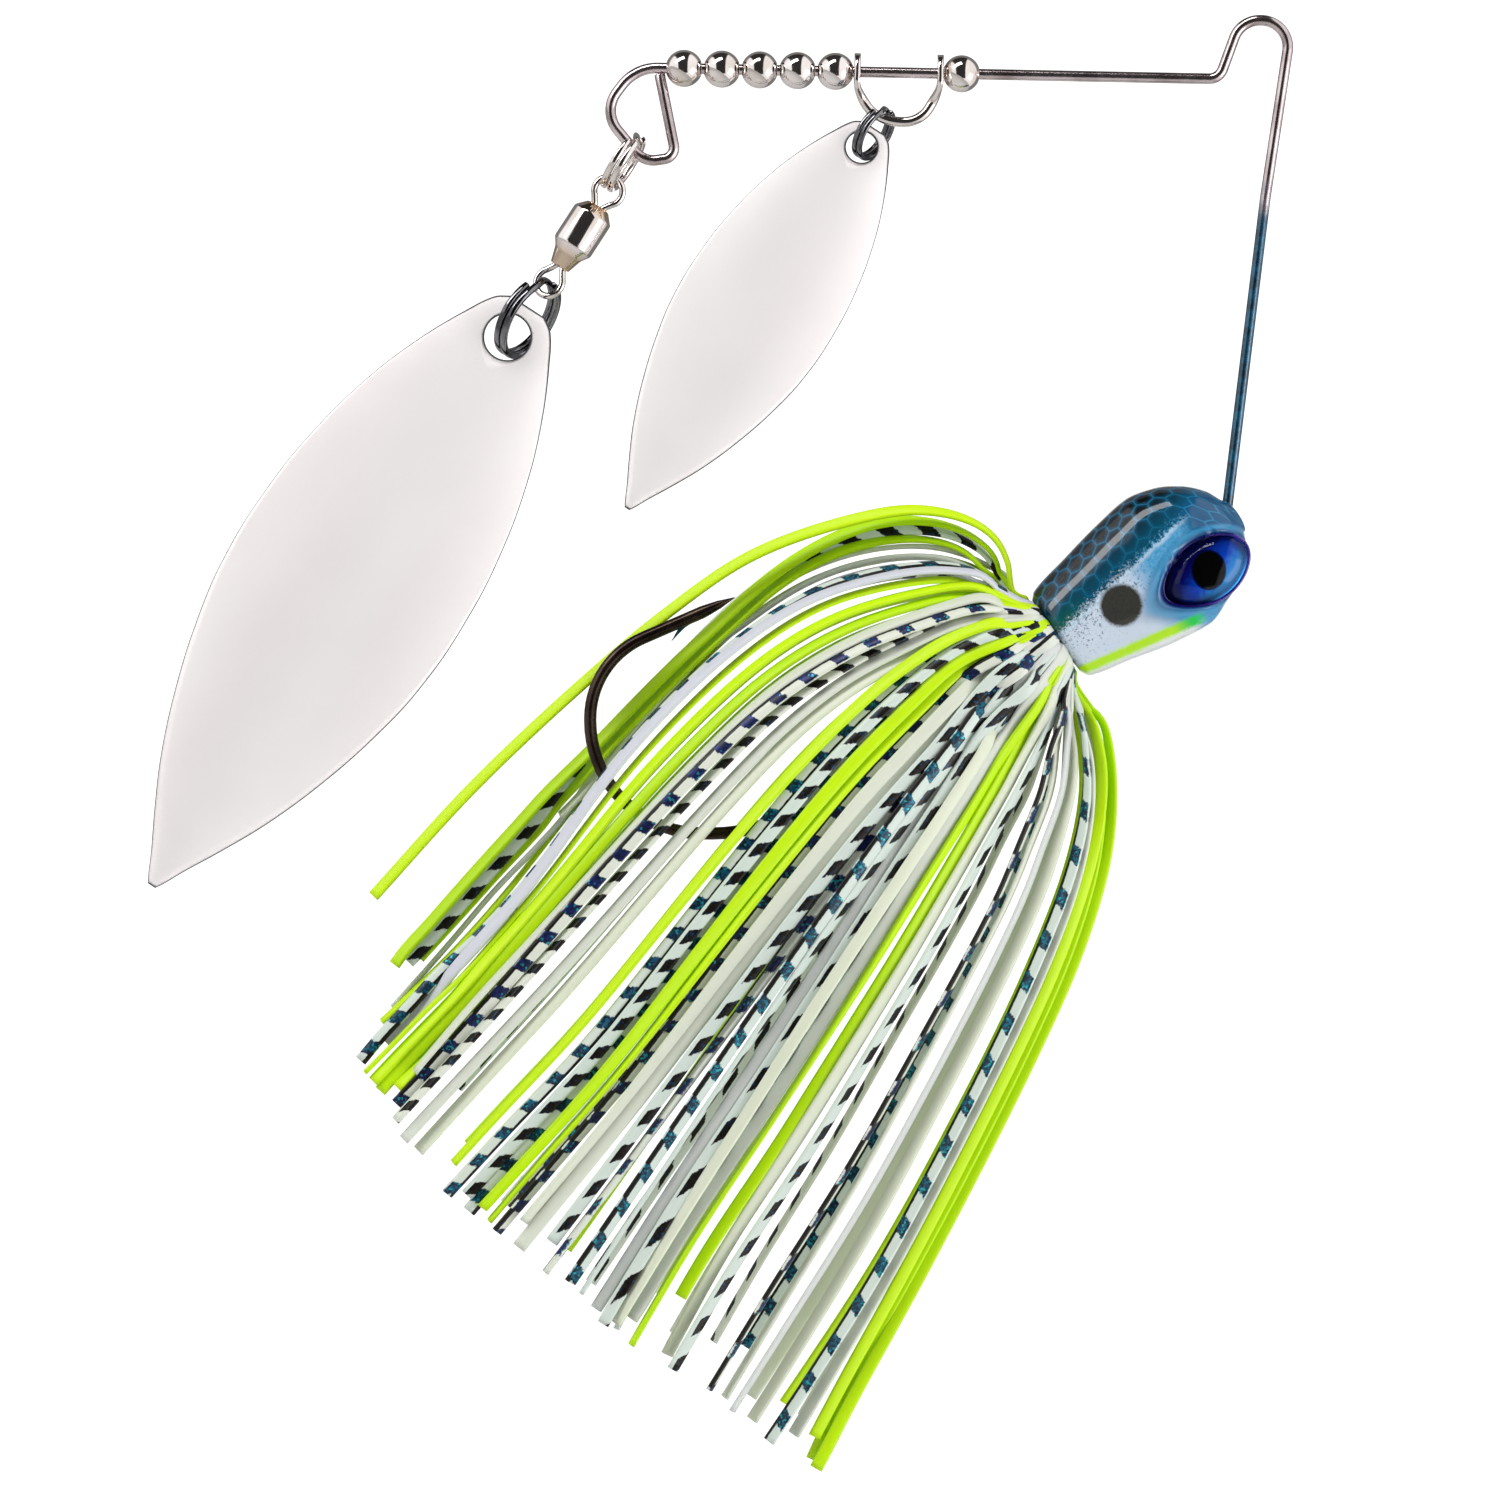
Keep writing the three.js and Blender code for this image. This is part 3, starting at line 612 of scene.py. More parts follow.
def add_clevis(look):
    """A strap bent into a bow: flat holed ears on the arm and a round belly between them."""
    half = 3.4
    ear, bow = 1.55, 0.42
    middle = on_arm(CLEVIS_X)
    down = ARM.cross(Vector((0, 1, 0)))
    if down.z > 0:
        down = -down
    places = [(-half, 1.5), (-half, 0), (-half, -1.15), (-half + 0.2, -1.7), (-2.35, -3.05)]
    places += [(-1.6, -3.6), (-0.4, -3.98), (1.1, -3.95), (2.15, -3.35), (2.85, -2.3)]
    places += [(half - 0.1, -1.3), (half, -0.6), (half, 0.3), (half, 1.5)]
    path = smooth_path([middle + (ARM * a - down * b) * MM for a, b in places], 120)
    shape = Shape()
    rings = []
    for point, (_, side, top) in zip(path, carried(path, ARM)):
        height = -(point - middle).dot(down) / MM
        level = max(0.0, min(1.0, (-height - 0.7) / 1.9))
        level = level * level * (3 - 2 * level)
        chord = math.sqrt(max(ear**2 - min(height, 1.52) ** 2, 0.03)) if height > 0 else ear
        wide = chord * (1 - level) + bow * level
        thick = 0.28 * (1 - level) + bow * level
        power = 0.35 * (1 - level) + 1.0 * level
        ring = []
        for a, b in circle(1, 28):
            p = math.copysign(abs(a) ** power, a) * wide
            q = math.copysign(abs(b) ** power, b) * thick
            ring.append(point + (side * p + top * q) * MM)
        rings.append(ring)
    shape.rings(rings, along=[0.0] * len(rings))
    made = shape.piece("clevis_folded", look, "bright_nickel", "clevis", ["clevis"])
    hole_cut(made, middle, ARM, 0.62, 12)


def add_split_ring(name, centre, yaw, outer, wire, look, slot):
    """Two turns of wire about the ring's axis, each flat, with a short slant between."""
    centre = Vector(centre) * MM
    axis = Vector((math.cos(yaw), -math.sin(yaw), 0))
    across = Vector((0, 0, 1)).cross(axis)
    slant = math.radians(26)
    sweep = 4 * math.pi - 2 * slant
    begin = math.radians(115) + slant
    path = []
    steps = 180
    for i in range(steps + 1):
        turned = sweep * i / steps
        share = max(-1.0, min(1.0, (turned - sweep / 2) / slant))
        share = math.sin(share * math.pi / 2)
        angle = begin + turned
        spoke = across * math.cos(angle) + Vector((0, 0, 1)) * math.sin(angle)
        path.append(centre + (spoke * (outer - wire) + axis * (wire + 0.02) * share) * MM)
    section = []
    for a, b in circle(1, 20):
        flat = [math.copysign(abs(c) ** 0.72, c) * wire for c in (a, b)]
        section.append((flat[0] * 0.97, flat[1] * 0.97))
    shape = Shape()
    rod(shape, path, section, up=axis, end=0.06)
    shape.piece(name + "_wound", look, slot, name, [name])


# ---- Swivel ---------------------------------------------------------------

SWIVEL_TOP = Vector((-37.5, 0, -42)) * MM
BALLS, BALL_RADIUS, BALL_TRACK = 5, 0.33, 0.95
HANG_YAW = math.radians(24)
DOWNWARD = Vector((0, 0, 1))


def eye_loop(shape, centre_rise, stem_rise, yaw):
    """A loop of wire in an upright plane, whose two legs run side by side into the barrel."""
    radius, wire, leg = 1.17, 0.28, 0.29
    side = Vector((math.cos(yaw), -math.sin(yaw), 0))
    away = 1 if centre_rise > stem_rise else -1
    places = [(leg, stem_rise), (leg, centre_rise - away * 1.75)]
    for i in range(15):
        angle = math.radians(-48 + 276 * i / 14)
        places.append((radius * math.cos(angle), centre_rise + away * radius * math.sin(angle)))
    places += [(-leg, centre_rise - away * 1.75), (-leg, stem_rise)]
    spots = [SWIVEL_TOP + (side * a + DOWNWARD * b) * MM for a, b in places]
    rod(shape, smooth_path(spots, 90), circle(wire, 20))


def add_swivel(look, ball_look):
    """A barrel shell with an eye on top, a shaft that spins in it, and the balls between."""
    corners = [
        (0.62, -5.9),
        (0.85, -5.9),
        (1.25, -4.6),
        (1.75, -3.9),
        (1.75, -0.85),
        (0.98, 0),
        (0.62, 0),
        (0.62, -0.7),
        (1.35, -1.3),
        (1.35, -3.8),
        (0.62, -4.4),
    ]
    profile = rounded(corners, 0.16, 3, closed=True)
    brass = []
    for radius, height in [*profile, profile[0]]:
        top = max(0.0, min(1.0, (height + 0.85) * 3))
        low = max(0.0, min(1.0, (-4.1 - height) * 1.4))
        inside = 1.0 if radius < 1.4 and -4 < height < -0.2 else 0.0
        brass.append(max(top * 0.8, low * 0.55, inside))
    shell = Shape()
    lathed(shell, profile, SWIVEL_TOP, DOWNWARD, 64, closed=True, brass=brass)
    made = shell.piece("swivel_shell_turned", look, "bright_nickel", "swivel_barrel", ["swivel_shell"])
    made.data.set_sharp_from_angle(angle=math.radians(30))

    upper = Shape()
    eye_loop(upper, 1.5, -1.75, 0)
    disc = rounded([(0.01, -2.1), (0.95, -2.1), (0.95, -1.7), (0.01, -1.7)], 0.12)
    lathed(upper, disc, SWIVEL_TOP, DOWNWARD, 40)
    upper.piece("swivel_upper_eye_wire", look, "bright_nickel", "swivel_barrel", ["swivel_upper_eye"])

    shaft = Shape()
    eye_loop(shaft, -7.4, -2.7, HANG_YAW)
    disc = rounded([(0.01, -2.75), (1.05, -2.75), (1.05, -2.35), (0.01, -2.35)], 0.12)
    lathed(shaft, disc, SWIVEL_TOP, DOWNWARD, 40)
    shaft.piece("swivel_shaft_wire", look, "bright_nickel", "swivel_shaft", ["swivel_shaft"])

    arc = [math.pi * k / 16 - math.pi / 2 for k in range(17)]
    outside = [(max(BALL_RADIUS * math.cos(a), 0.004), BALL_RADIUS * math.sin(a)) for a in arc]
    for i, (x, y) in enumerate(circle(BALL_TRACK, BALLS)):
        spot = Vector((x, y, -3.2)) * MM
        ball = Shape()
        lathed(ball, outside, SWIVEL_TOP + spot, DOWNWARD, 24)
        name = f"swivel_ball_{i + 1}"
        ball.piece(name + "_ground", ball_look, "ball_steel", "swivel_barrel", [name])


# ---- Blades ---------------------------------------------------------------

LEAF_OUTLINE = [
    (0, 0.17),
    (0.012, 0.27),
    (0.055, 0.42),
    (0.12, 0.6),
    (0.2, 0.77),
    (0.3, 0.91),
    (0.4, 0.985),
    (0.48, 1),
    (0.56, 0.97),
    (0.66, 0.86),
    (0.76, 0.69),
    (0.84, 0.51),
    (0.91, 0.31),
    (0.96, 0.155),
    (0.99, 0.07),
    (1, 0.035),
]


def eased(table, at):
    """A smooth reading of a table of (place, value) rows."""
    at = max(table[0][0], min(table[-1][0], at))
    i = next(k for k in range(len(table) - 1) if at <= table[k + 1][0])
    slopes = []
    for k in (i, i + 1):
        if 0 < k < len(table) - 1:
            (xa, ya), (xb, yb), (xc, yc) = table[k - 1 : k + 2]
            a, b = (yb - ya) / (xb - xa), (yc - yb) / (xc - xb)
            slopes.append(0 if a * b <= 0 else 2 * a * b / (a + b))
        else:
            (xa, ya), (xb, yb) = table[i], table[i + 1]
            slopes.append((yb - ya) / (xb - xa))
    (x0, y0), (x1, y1) = table[i], table[i + 1]
    wide = x1 - x0
    t = (at - x0) / wide
    return (
        y0 * (1 + 2 * t) * (1 - t) ** 2
        + slopes[0] * wide * t * (1 - t) ** 2
        + y1 * t * t * (3 - 2 * t)
        + slopes[1] * wide * t * t * (t - 1)
    )


def leaf_edge(length, width, hole_drop, count):
    """Points round the leaf's outline, in the blade's plane, from its hole."""
    side = []
    for i in range(count + 1):
        t = 0.5 - 0.5 * math.cos(math.pi * i / count)
        side.append(Vector((eased(LEAF_OUTLINE, t) * width / 2, hole_drop - t * length)))
    top = [Vector((side[0].x * k / 4, hole_drop)) for k in range(4)]
    tip = [Vector((side[-1].x * (3 - k) / 4, hole_drop - length)) for k in range(3)]
    right = top + side + tip
    left = [Vector((-p.x, p.y)) for p in reversed(right[1:])]
    return right + left


def add_blade(name, hole, length, width, hole_radius, hole_drop, dish, look):
    """A dished leaf with rounded rims, skinned in rings from its hole to its outline."""
    hole = Vector(hole) * MM
    thick = 0.5
    outline = leaf_edge(length, width, hole_drop, 90)

    def hollow(x, z):
        share = eased(LEAF_OUTLINE, (hole_drop - z) / length)
        u = min(1.0, abs(x) / (share * width / 2))
        return -dish * share * (1 - u * u)

    rim = [(0.16, 0.5), (0.06, 0.42), (0, 0.22), (0, -0.22), (0.06, -0.42), (0.16, -0.5)]
    steps = 44
    face = [(k / steps) ** 1.25 for k in range(1, steps)]
    line = [("in", inset, level) for inset, level in reversed(rim)]
    line += [("face", share, -0.5) for share in face]
    line += [("out", inset, level) for inset, level in reversed(rim)]
    line += [("face", share, 0.5) for share in reversed(face)]
    rings, edges = [], []
    for kind, number, level in line:
        ring, edge = [], []
        for spot in outline:
            far = spot.length
            if kind == "in":
                at = hole_radius + number
            elif kind == "out":
                at = far - number
            else:
                at = hole_radius + 0.16 + (far - hole_radius - 0.32) * number
            p = spot * (at / far)
            y = hollow(p.x, p.y) + level * thick
            ring.append(hole + Vector((p.x, y, p.y)) * MM)
            near = min(far - at, at - hole_radius)
            edge.append(1.0 if kind != "face" and abs(level) < 0.45 else math.exp(-near / 0.7) * 0.9)
        rings.append(ring)
        edges.append(edge)
    rings.append([p.copy() for p in rings[0]])
    edges.append(edges[0])
    shape = Shape()
    shape.rings(rings, caps=False, edge=edges)
    made = shape.piece(name + "_pressed", look, "blade_silver", name, [name])
    shell = bmesh.new()
    shell.from_mesh(made.data)
    bmesh.ops.remove_doubles(shell, verts=shell.verts, dist=1e-8)
    bmesh.ops.recalc_face_normals(shell, faces=shell.faces)
    shell.to_mesh(made.data)
    shell.free()


# ---- Head and eyes --------------------------------------------------------

# Along the head's axis: top, bottom, half width, and how square the section is
SKULL = [
    (0, (3.35, -3.7, 3.3, 2.0)),
    (0.5, (3.9, -4.4, 3.7, 2.0)),
    (4, (4.75, -5.2, 4.1, 2.1)),
    (8, (5.6, -6.1, 4.5, 2.3)),
    (11, (6, -6.4, 4.75, 2.6)),
    (13.3, (5.5, -5.6, 4.65, 2.7)),
    (15.3, (4.4, -4.65, 4.1, 2.5)),
    (16.8, (2.9, -3.3, 3, 2.2)),
    (17.6, (1.3, -1.7, 1.6, 2.0)),
]
# The last bit of the skull is a rounded nose
NOSE_START, NOSE_LENGTH, SKULL_LENGTH = 17.6, 0.42, 18.02
EYE_ALONG, EYE_RISE = 13.1, -2.55
EYE_LONG, EYE_HIGH = 3.75, 2.6


def skull_at(along):
    """Top, bottom, half width and squareness at a place along the head's axis."""
    if along > NOSE_START:
        left = math.sqrt(max(0.0, 1 - ((along - NOSE_START) / NOSE_LENGTH) ** 2))
        return -0.2 + 1.5 * left, -0.2 - 1.5 * left, 1.6 * left, 2.0
    return tuple(eased([(at, row[k]) for at, row in SKULL], along) for k in range(4))


def eye_place(along, rise):
    """Where a point of the head's side lies in the eye: 1 is the eye's outline."""
    u, v = (along - EYE_ALONG) / EYE_LONG, (rise - EYE_RISE) / EYE_HIGH
    corner = 1 + 0.1 * max(0.0, -u) ** 2
    return math.hypot(u / corner, v * (1 + 0.12 * u * u))


def socket(along, rise, y):
    """The skull's side with the eye's socket sunk into it and a raised lid round that."""
    q = eye_place(along, rise)
    size = abs(y)
    lid = 0.32 * math.exp(-(((q - 1.12) / 0.09) ** 2)) * min(1.0, size / 2.5)
    if q < 1.06:
        floor = 2.75
        share = max(0.0, min(1.0, (q - 0.94) / 0.12))
        share = share * share * (3 - 2 * share)
        size = min(size, floor) * (1 - share) + size * share
    return math.copysign(size + lid * (q > 0.98), y)


def add_head():
    """The neck with its keeper, and the skull round the two eye sockets."""
    shape = Shape()
    sides = 176
    neck = [(-6, 0.3), (-6, 1.75), (-5.9, 1.95), (-5.6, 2.25), (-5.2, 2.15), (-4.9, 1.9)]
    neck += [(-3, 1.9), (-0.6, 1.9), (-0.1, 2.0), (0, 2.6)]
    rings, rise_rows, along_rows, girth_rows, lid_rows = [], [], [], [], []

    def add_ring(places, along):
        rings.append([head_point(along, y, rise) for y, rise in places])
        gone, girths = 0.0, [0.0]
        for a, b in zip(places, places[1:]):
            gone += math.hypot(b[0] - a[0], b[1] - a[1])
            girths.append(gone)
        half = gone / 2
        girth_rows.append([min(g, 2 * half - g) for g in girths])
        rise_rows.append([rise for _, rise in places])
        along_rows.append(along)
        lid_rows.append([eye_place(along, rise) + (abs(y) < 0.8) for y, rise in places])

    for along, radius in neck:
        turns = [2 * math.pi * i / sides for i in range(sides)]
        add_ring([(radius * math.sin(a), NECK_RISE + radius * math.cos(a)) for a in turns], along)
    count = 150
    for k in range(count + 1):
        share = k / count
        along = SKULL_LENGTH * (1 - (1 - share) ** 1.35)
        top, bottom, wide, square = skull_at(along)
        middle, tall = (top + bottom) / 2, (top - bottom) / 2
        places = []
        for i in range(sides):
            a = 2 * math.pi * i / sides
            y = math.copysign(abs(math.sin(a)) ** (2 / square), math.sin(a)) * wide
            rise = middle + math.copysign(abs(math.cos(a)) ** (2 / square), math.cos(a)) * tall
            places.append((socket(along, rise, y), rise))
        add_ring(places, along)
    shape.rings(rings, hx=along_rows, hr=rise_rows, girth=girth_rows, lid=lid_rows)
    shape.piece("head_cast", head_look(), "head_paint", "root", ["head"])


def head_look():
    """Airbrushed paint under clear coat: scaled back, speckled side, stripe and belly."""
    look = Look("head_airbrushed", Roughness=0.4, Coat_Weight=1.0, Coat_Roughness=0.07)
    look.drive(Coat_IOR=1.42, Specular_IOR_Level=0.05)
    along, rise, girth, lid = (look.value(n) for n in ("hx", "hr", "girth", "lid"))
    cloud = look.noise(0.7, 4.0)
    spray = look.noise(4.2, 3.0, rough=0.75)
    soft = cloud * 1.2 - 0.6
    dusty = spray * 1.4 - 0.7
    height = rise - (along * 0.166 - 0.35)
    height = height + soft * 0.5

    # The scales: two crossed grids of cell centres make a honeycomb
    pitch, row = 1.5 * math.sqrt(3), 1.5
    nearest = None
    for shift in (0.0, 0.5):
        u = along * (1 / row) + shift
        v = girth * (1 / pitch) + shift
        du = (look.math("FRACT", u) - 0.5) * row
        dv = (look.math("FRACT", v) - 0.5) * pitch
        du, dv = abs(du), abs(dv)
        slant = dv * 0.866 + du * 0.5
        far = look.math("MAXIMUM", du, slant)
        nearest = far if nearest is None else look.math("MINIMUM", nearest, far)
    cell = nearest + dusty * 0.03
    net = look.step(cell, 0.66, 0.73)
    core = look.step(cell, 0.7, 0.36)
    flank = look.step(height, 3.4, 0.6)
    scale = look.mix(core, srgb(8, 60, 84), srgb(1, 9, 15))
    scale = look.mix(flank * 0.7, scale, srgb(8, 86, 116))
    line = look.mix(flank, srgb(28, 104, 140), srgb(12, 92, 124))
    back = look.mix(net, scale, line)
    green = look.step(along, 4.5, 0.5) * look.step(height, 2.2, 0.4)
    back = look.mix(green * 0.75, back, srgb(20, 92, 62))

    # The side: silver white, with dark and blue dots of spray that thin out downwards
    dots = look.step(spray + height * 0.035, 0.5, 0.6)
    side = look.mix(cloud, srgb(188, 204, 222), srgb(214, 224, 236))
    side = look.mix(dots * 0.8, side, srgb(60, 82, 112))
    forward = look.step(along + soft, 6.6, 9.6)
    forward = forward * look.step(dusty, -0.5, 0.15, 0.72, 1.0)
    side = look.mix(forward, side, srgb(72, 156, 204))
    edge = look.step(height + dusty * 2.2, -0.35, 0.75)
    paint = look.mix(edge, side, back)
    # A painted highlight: a pale blue-white line where the dark back meets the silver side
    glint = abs(height + dusty * 0.6)
    glint = look.step(glint, 0.3, 0.05) * 0.6
    paint = look.mix(glint, paint, srgb(196, 220, 238))

    # The face, and the lid that stands round the eye
    face = look.step(along + soft * 0.6, 12.4, 14.6)
    low = look.step(height + soft, 1.9, 0.5)
    nose = look.step(along + soft, 16.2, 17.2) * 0.8
    face = look.math("MAXIMUM", face * low, nose)
    sky = look.mix(cloud, srgb(6, 62, 98), srgb(16, 92, 136))
    paint = look.mix(face, paint, look.mix(net * 0.8, sky, srgb(30, 126, 170)))
    ring = look.step(lid + dusty * 0.05, 1.5, 1.1)
    paint = look.mix(ring * 0.8, paint, srgb(12, 84, 136))
    bright = look.step(lid, 1.1, 1.2) * look.step(lid, 1.36, 1.22)
    paint = look.mix(bright * 0.45, paint, srgb(84, 176, 224))
    paint = look.mix(look.step(lid, 1.1, 1.0), paint, srgb(14, 20, 96))

    # The belly, the stripe above it and the round spot
    below = rise + (along * 0.18 + 3.49)
    below = below + soft * 0.12
    rear = look.step(along + soft, 11.0, 9.4)
    belly = look.step(below, 0.1, -0.5) * rear
    paint = look.mix(belly, paint, srgb(226, 230, 232))
    stripe = abs(below + 0.12)
    stripe = look.step(dusty * 0.3 + stripe, 0.62, 0.2) * look.step(along + dusty, 11.2, 10.0)
    lime = look.mix(look.step(along, 7.8, 9.8), srgb(176, 228, 12), srgb(20, 196, 74))
    paint = look.mix(stripe, paint, lime)
    across = (along - 5.6) ** 2
    spot = across + (rise + 1.0) ** 2
    spot = look.math("SQRT", spot) + dusty * 0.3
    black = look.mix(spray, srgb(34, 32, 28), srgb(70, 70, 66))
    paint = look.mix(look.step(spot, 1.9, 1.5), paint, black)
    look.drive(Base_Color=paint)
    flakes = look.bump(look.noise(14.0, 2.0, rough=0.7), 0.06, 0.01)
    look.drive(Normal=flakes, Metallic=look.step(spray, 0.5, 0.7) * 0.35)
    look.drive(Coat_Normal=look.bump(look.noise(0.5, 2.0), 0.05, 0.2))
    return look.material


def oval_rings(rows, side):
    """Rings over the eye: rows of (share of the eye's size, |y|)."""
    rings, us, vs = [], [], []
    for share, y in rows:
        ring, u_row, v_row = [], [], []
        for a, b in circle(1, 96):
            u = a * share * (1 + 0.1 * max(0.0, -a) ** 2)
            v = b * share * (1 - 0.1 * a * a)
            spot = (EYE_ALONG + u * EYE_LONG, EYE_RISE + v * EYE_HIGH)
            ring.append(head_point(spot[0], side * y, spot[1]))
            u_row.append(u * EYE_LONG)
            v_row.append(v * EYE_HIGH)
        rings.append(ring)
        us.append(u_row)
        vs.append(v_row)
    return rings, us, vs


def foil_look():
    """A printed foil iris: black pupil, royal to bright blue with fine rays, darkened on one side by
    painted lid shade.
    """
    look = Look("eye_foil_blue", Metallic=0.3, Roughness=0.3, Specular_IOR_Level=0.05)
    u, v = look.value("eu"), look.value("ev")
    turned_u = u * 0.829 - v * 0.559
    turned_v = u * 0.559 + v * 0.829
    turned_u = turned_u - 0.1
    near = (turned_u * (1 / 1.3)) ** 2
    near = near + (turned_v * (1 / 1.5)) ** 2
    near = look.math("SQRT", near)
    lean = turned_u * 0.3 - turned_v * 0.22
    angle = look.math("ARCTAN2", turned_v, turned_u)
    rays = look.noise(3.0, 3.0, look.join(angle * 2.2, near, 0.0), 0.6)
    lean = lean + (rays * 0.5 - 0.25)
    # Painted shade: the iris darkens towards its low-lean side, under the lid, and the blues themselves
    # are the foil's print
    iris = look.mix(look.step(lean, -0.6, 0.1), srgb(8, 4, 128), srgb(12, 78, 222))
    iris = look.mix(look.step(lean, 0.1, 0.65), iris, srgb(52, 164, 246))
    iris = look.mix(look.step(near, 1.9, 2.7), iris, srgb(8, 8, 96))
    iris = look.mix(look.step(near, 1.16, 1.04), iris, srgb(4, 10, 70))
    iris = look.mix(look.step(near, 1.04, 0.98), iris, srgb(3, 3, 5))
    look.drive(Base_Color=iris)
    look.drive(Normal=look.bump(rays, 0.15, 0.05))
    return look.material


def lens_look():
    """Clear moulded plastic: it lets the foil through and only mirrors the light."""
    look = Look("eye_lens_clear", Roughness=0.03, IOR=1.4)
    haze = look.step(look.noise(1.2, 3.0), 0.3, 0.8, 0.02, 0.07)
    look.drive(Roughness=haze)
    clear = look.node("BsdfTransparent")
    gloss = look.node("BsdfGlossy", {"Roughness": haze})
    share = look.node("Fresnel", {"IOR": 1.36})
    mixed = look.node("MixShader", {0: share, 1: clear, 2: gloss})
    look.feed(look.tree.nodes["Material Output"].inputs["Surface"], mixed)
    return look.material


# The foil disc: share of the eye's size, and distance from the lure's plane
FOIL_ROWS = [(0.01, 3.16), (0.3, 3.15), (0.6, 3.1), (0.9, 3.02), (1.0, 2.95), (1.0, 2.8)]


def add_eyes():
    """On each side a foil disc, a clear dome over it and a thin rim."""
    foil, lens = foil_look(), lens_look()
    for name, side in (("right", -1), ("left", 1)):
        disc = Shape()
        rings, us, vs = oval_rings(FOIL_ROWS, side)
        disc.rings(rings, eu=us, ev=vs)
        disc.piece("eye_foil_" + name + "_printed", foil, "eye_foil", "root", ["eye_foil_" + name])
        dome = Shape()
        arc = [math.radians(degrees) for degrees in range(0, 90, 6)]
        rows = [(0.96 * math.cos(a), 3.3 + 1.35 * math.sin(a)) for a in arc]
        rings, _, _ = oval_rings([*rows, (0.01, 4.65)], side)
        dome.rings(rings, caps=False)
        dome.piece("eye_lens_" + name + "_clear", lens, "eye_lens", "root", ["eye_lens_" + name])
        rim = Shape()
        rings, _, _ = oval_rings([(1.0, 3.45)], side)
        rim_path = rings[0] + rings[0][:3]
        rod(rim, rim_path, circle(0.13, 12), up=Vector((0, 1, 0)), end=0.01)
        rim.piece("eye_rim_" + name, rim_look(), "eye_foil", "root")


def rim_look():
    """The dark violet edge between the eye and its lid."""
    look = Look("eye_rim_violet", Roughness=0.2, Coat_Weight=1.0, Coat_Roughness=0.04)
    tone = look.step(look.noise(1.0, 3.0), 0.35, 0.65)
    look.drive(Base_Color=look.mix(tone, srgb(28, 18, 120), srgb(64, 34, 150)))
    look.drive(Normal=look.bump(look.noise(3.0, 3.0), 0.1, 0.04))
    return look.material


# ---- Skirt ----------------------------------------------------------------

# Strand routes in the lure's plane, [x, z] in mm, from the crest of the skirt to its throat.
# A strand lies between two of them, at its own angle round the neck.
GUIDES = [
    [(-19.6, -45.0), (-22.2, -41.2), (-27.6, -39.5), (-32.9, -40.2), (-41.6, -43.1),
     (-48.3, -47.6), (-54.3, -52.5), (-64.6, -62.0), (-73.2, -71.3)],
    [(-20.7, -45.0), (-24.3, -41.7), (-29.2, -40.7), (-32.9, -41.3), (-38.8, -44.3),
     (-45.6, -50.3), (-51.1, -55.7), (-64.1, -69.3), (-71.0, -77.2)],
    [(-21.4, -46.2), (-24.7, -44.3), (-28.8, -44.0), (-32.9, -44.7), (-37.5, -46.2),
     (-44.3, -50.8), (-52.4, -59.0), (-59.8, -69.3), (-67.3, -77.8), (-73.5, -84.0)],
    [(-20.7, -47.6), (-23.7, -47.7), (-28.0, -49.2), (-32.9, -51.0), (-39.4, -54.9),
     (-46.0, -61.0), (-52.6, -68.0), (-60.8, -77.0), (-71.0, -88.3)],
    [(-22.2, -49.7), (-25.5, -51.0), (-29.6, -54.3), (-34.5, -59.2), (-40.3, -66.1),
     (-46.0, -73.3), (-54.2, -83.6), (-61.6, -91.3), (-66.3, -96.3)],
    [(-21.9, -52.6), (-26.2, -57.7), (-32.2, -64.1), (-38.8, -72.1), (-46.0, -81.5),
     (-53.4, -91.3), (-59.9, -99.5)],
    [(-21.4, -55.3), (-24.7, -60.6), (-29.2, -67.6), (-34.5, -75.8), (-41.1, -86.0),
     (-47.6, -95.9), (-53.7, -105.7)],
    [(-19.9, -58.1), (-23.2, -63.6), (-27.1, -69.7), (-30.7, -75.6), (-34.2, -81.1),
     (-40.3, -90.5), (-46.3, -99.5), (-50.9, -107.7)],
    [(-17.1, -57.7), (-17.7, -62.2), (-19.7, -66.3), (-21.6, -70.8), (-23.9, -75.2),
     (-28.3, -83.1), (-33.9, -93.1), (-39.7, -102.4), (-44.9, -111.1)],
    [(-15.7, -55.3), (-14.4, -59.1), (-14.2, -62.6), (-14.8, -66.2), (-15.9, -70.1),
     (-19.7, -79.4), (-26.6, -93.1), (-31.8, -102.4), (-37.1, -110.6), (-40.7, -115.9)],
    [(-14.8, -54.4), (-13.2, -57.6), (-12.7, -61.8), (-13.1, -67.9), (-15.3, -75.6),
     (-18.4, -82.8), (-23.0, -92.2), (-27.9, -101.6), (-32.9, -111.0), (-36.2, -117.8)],
]

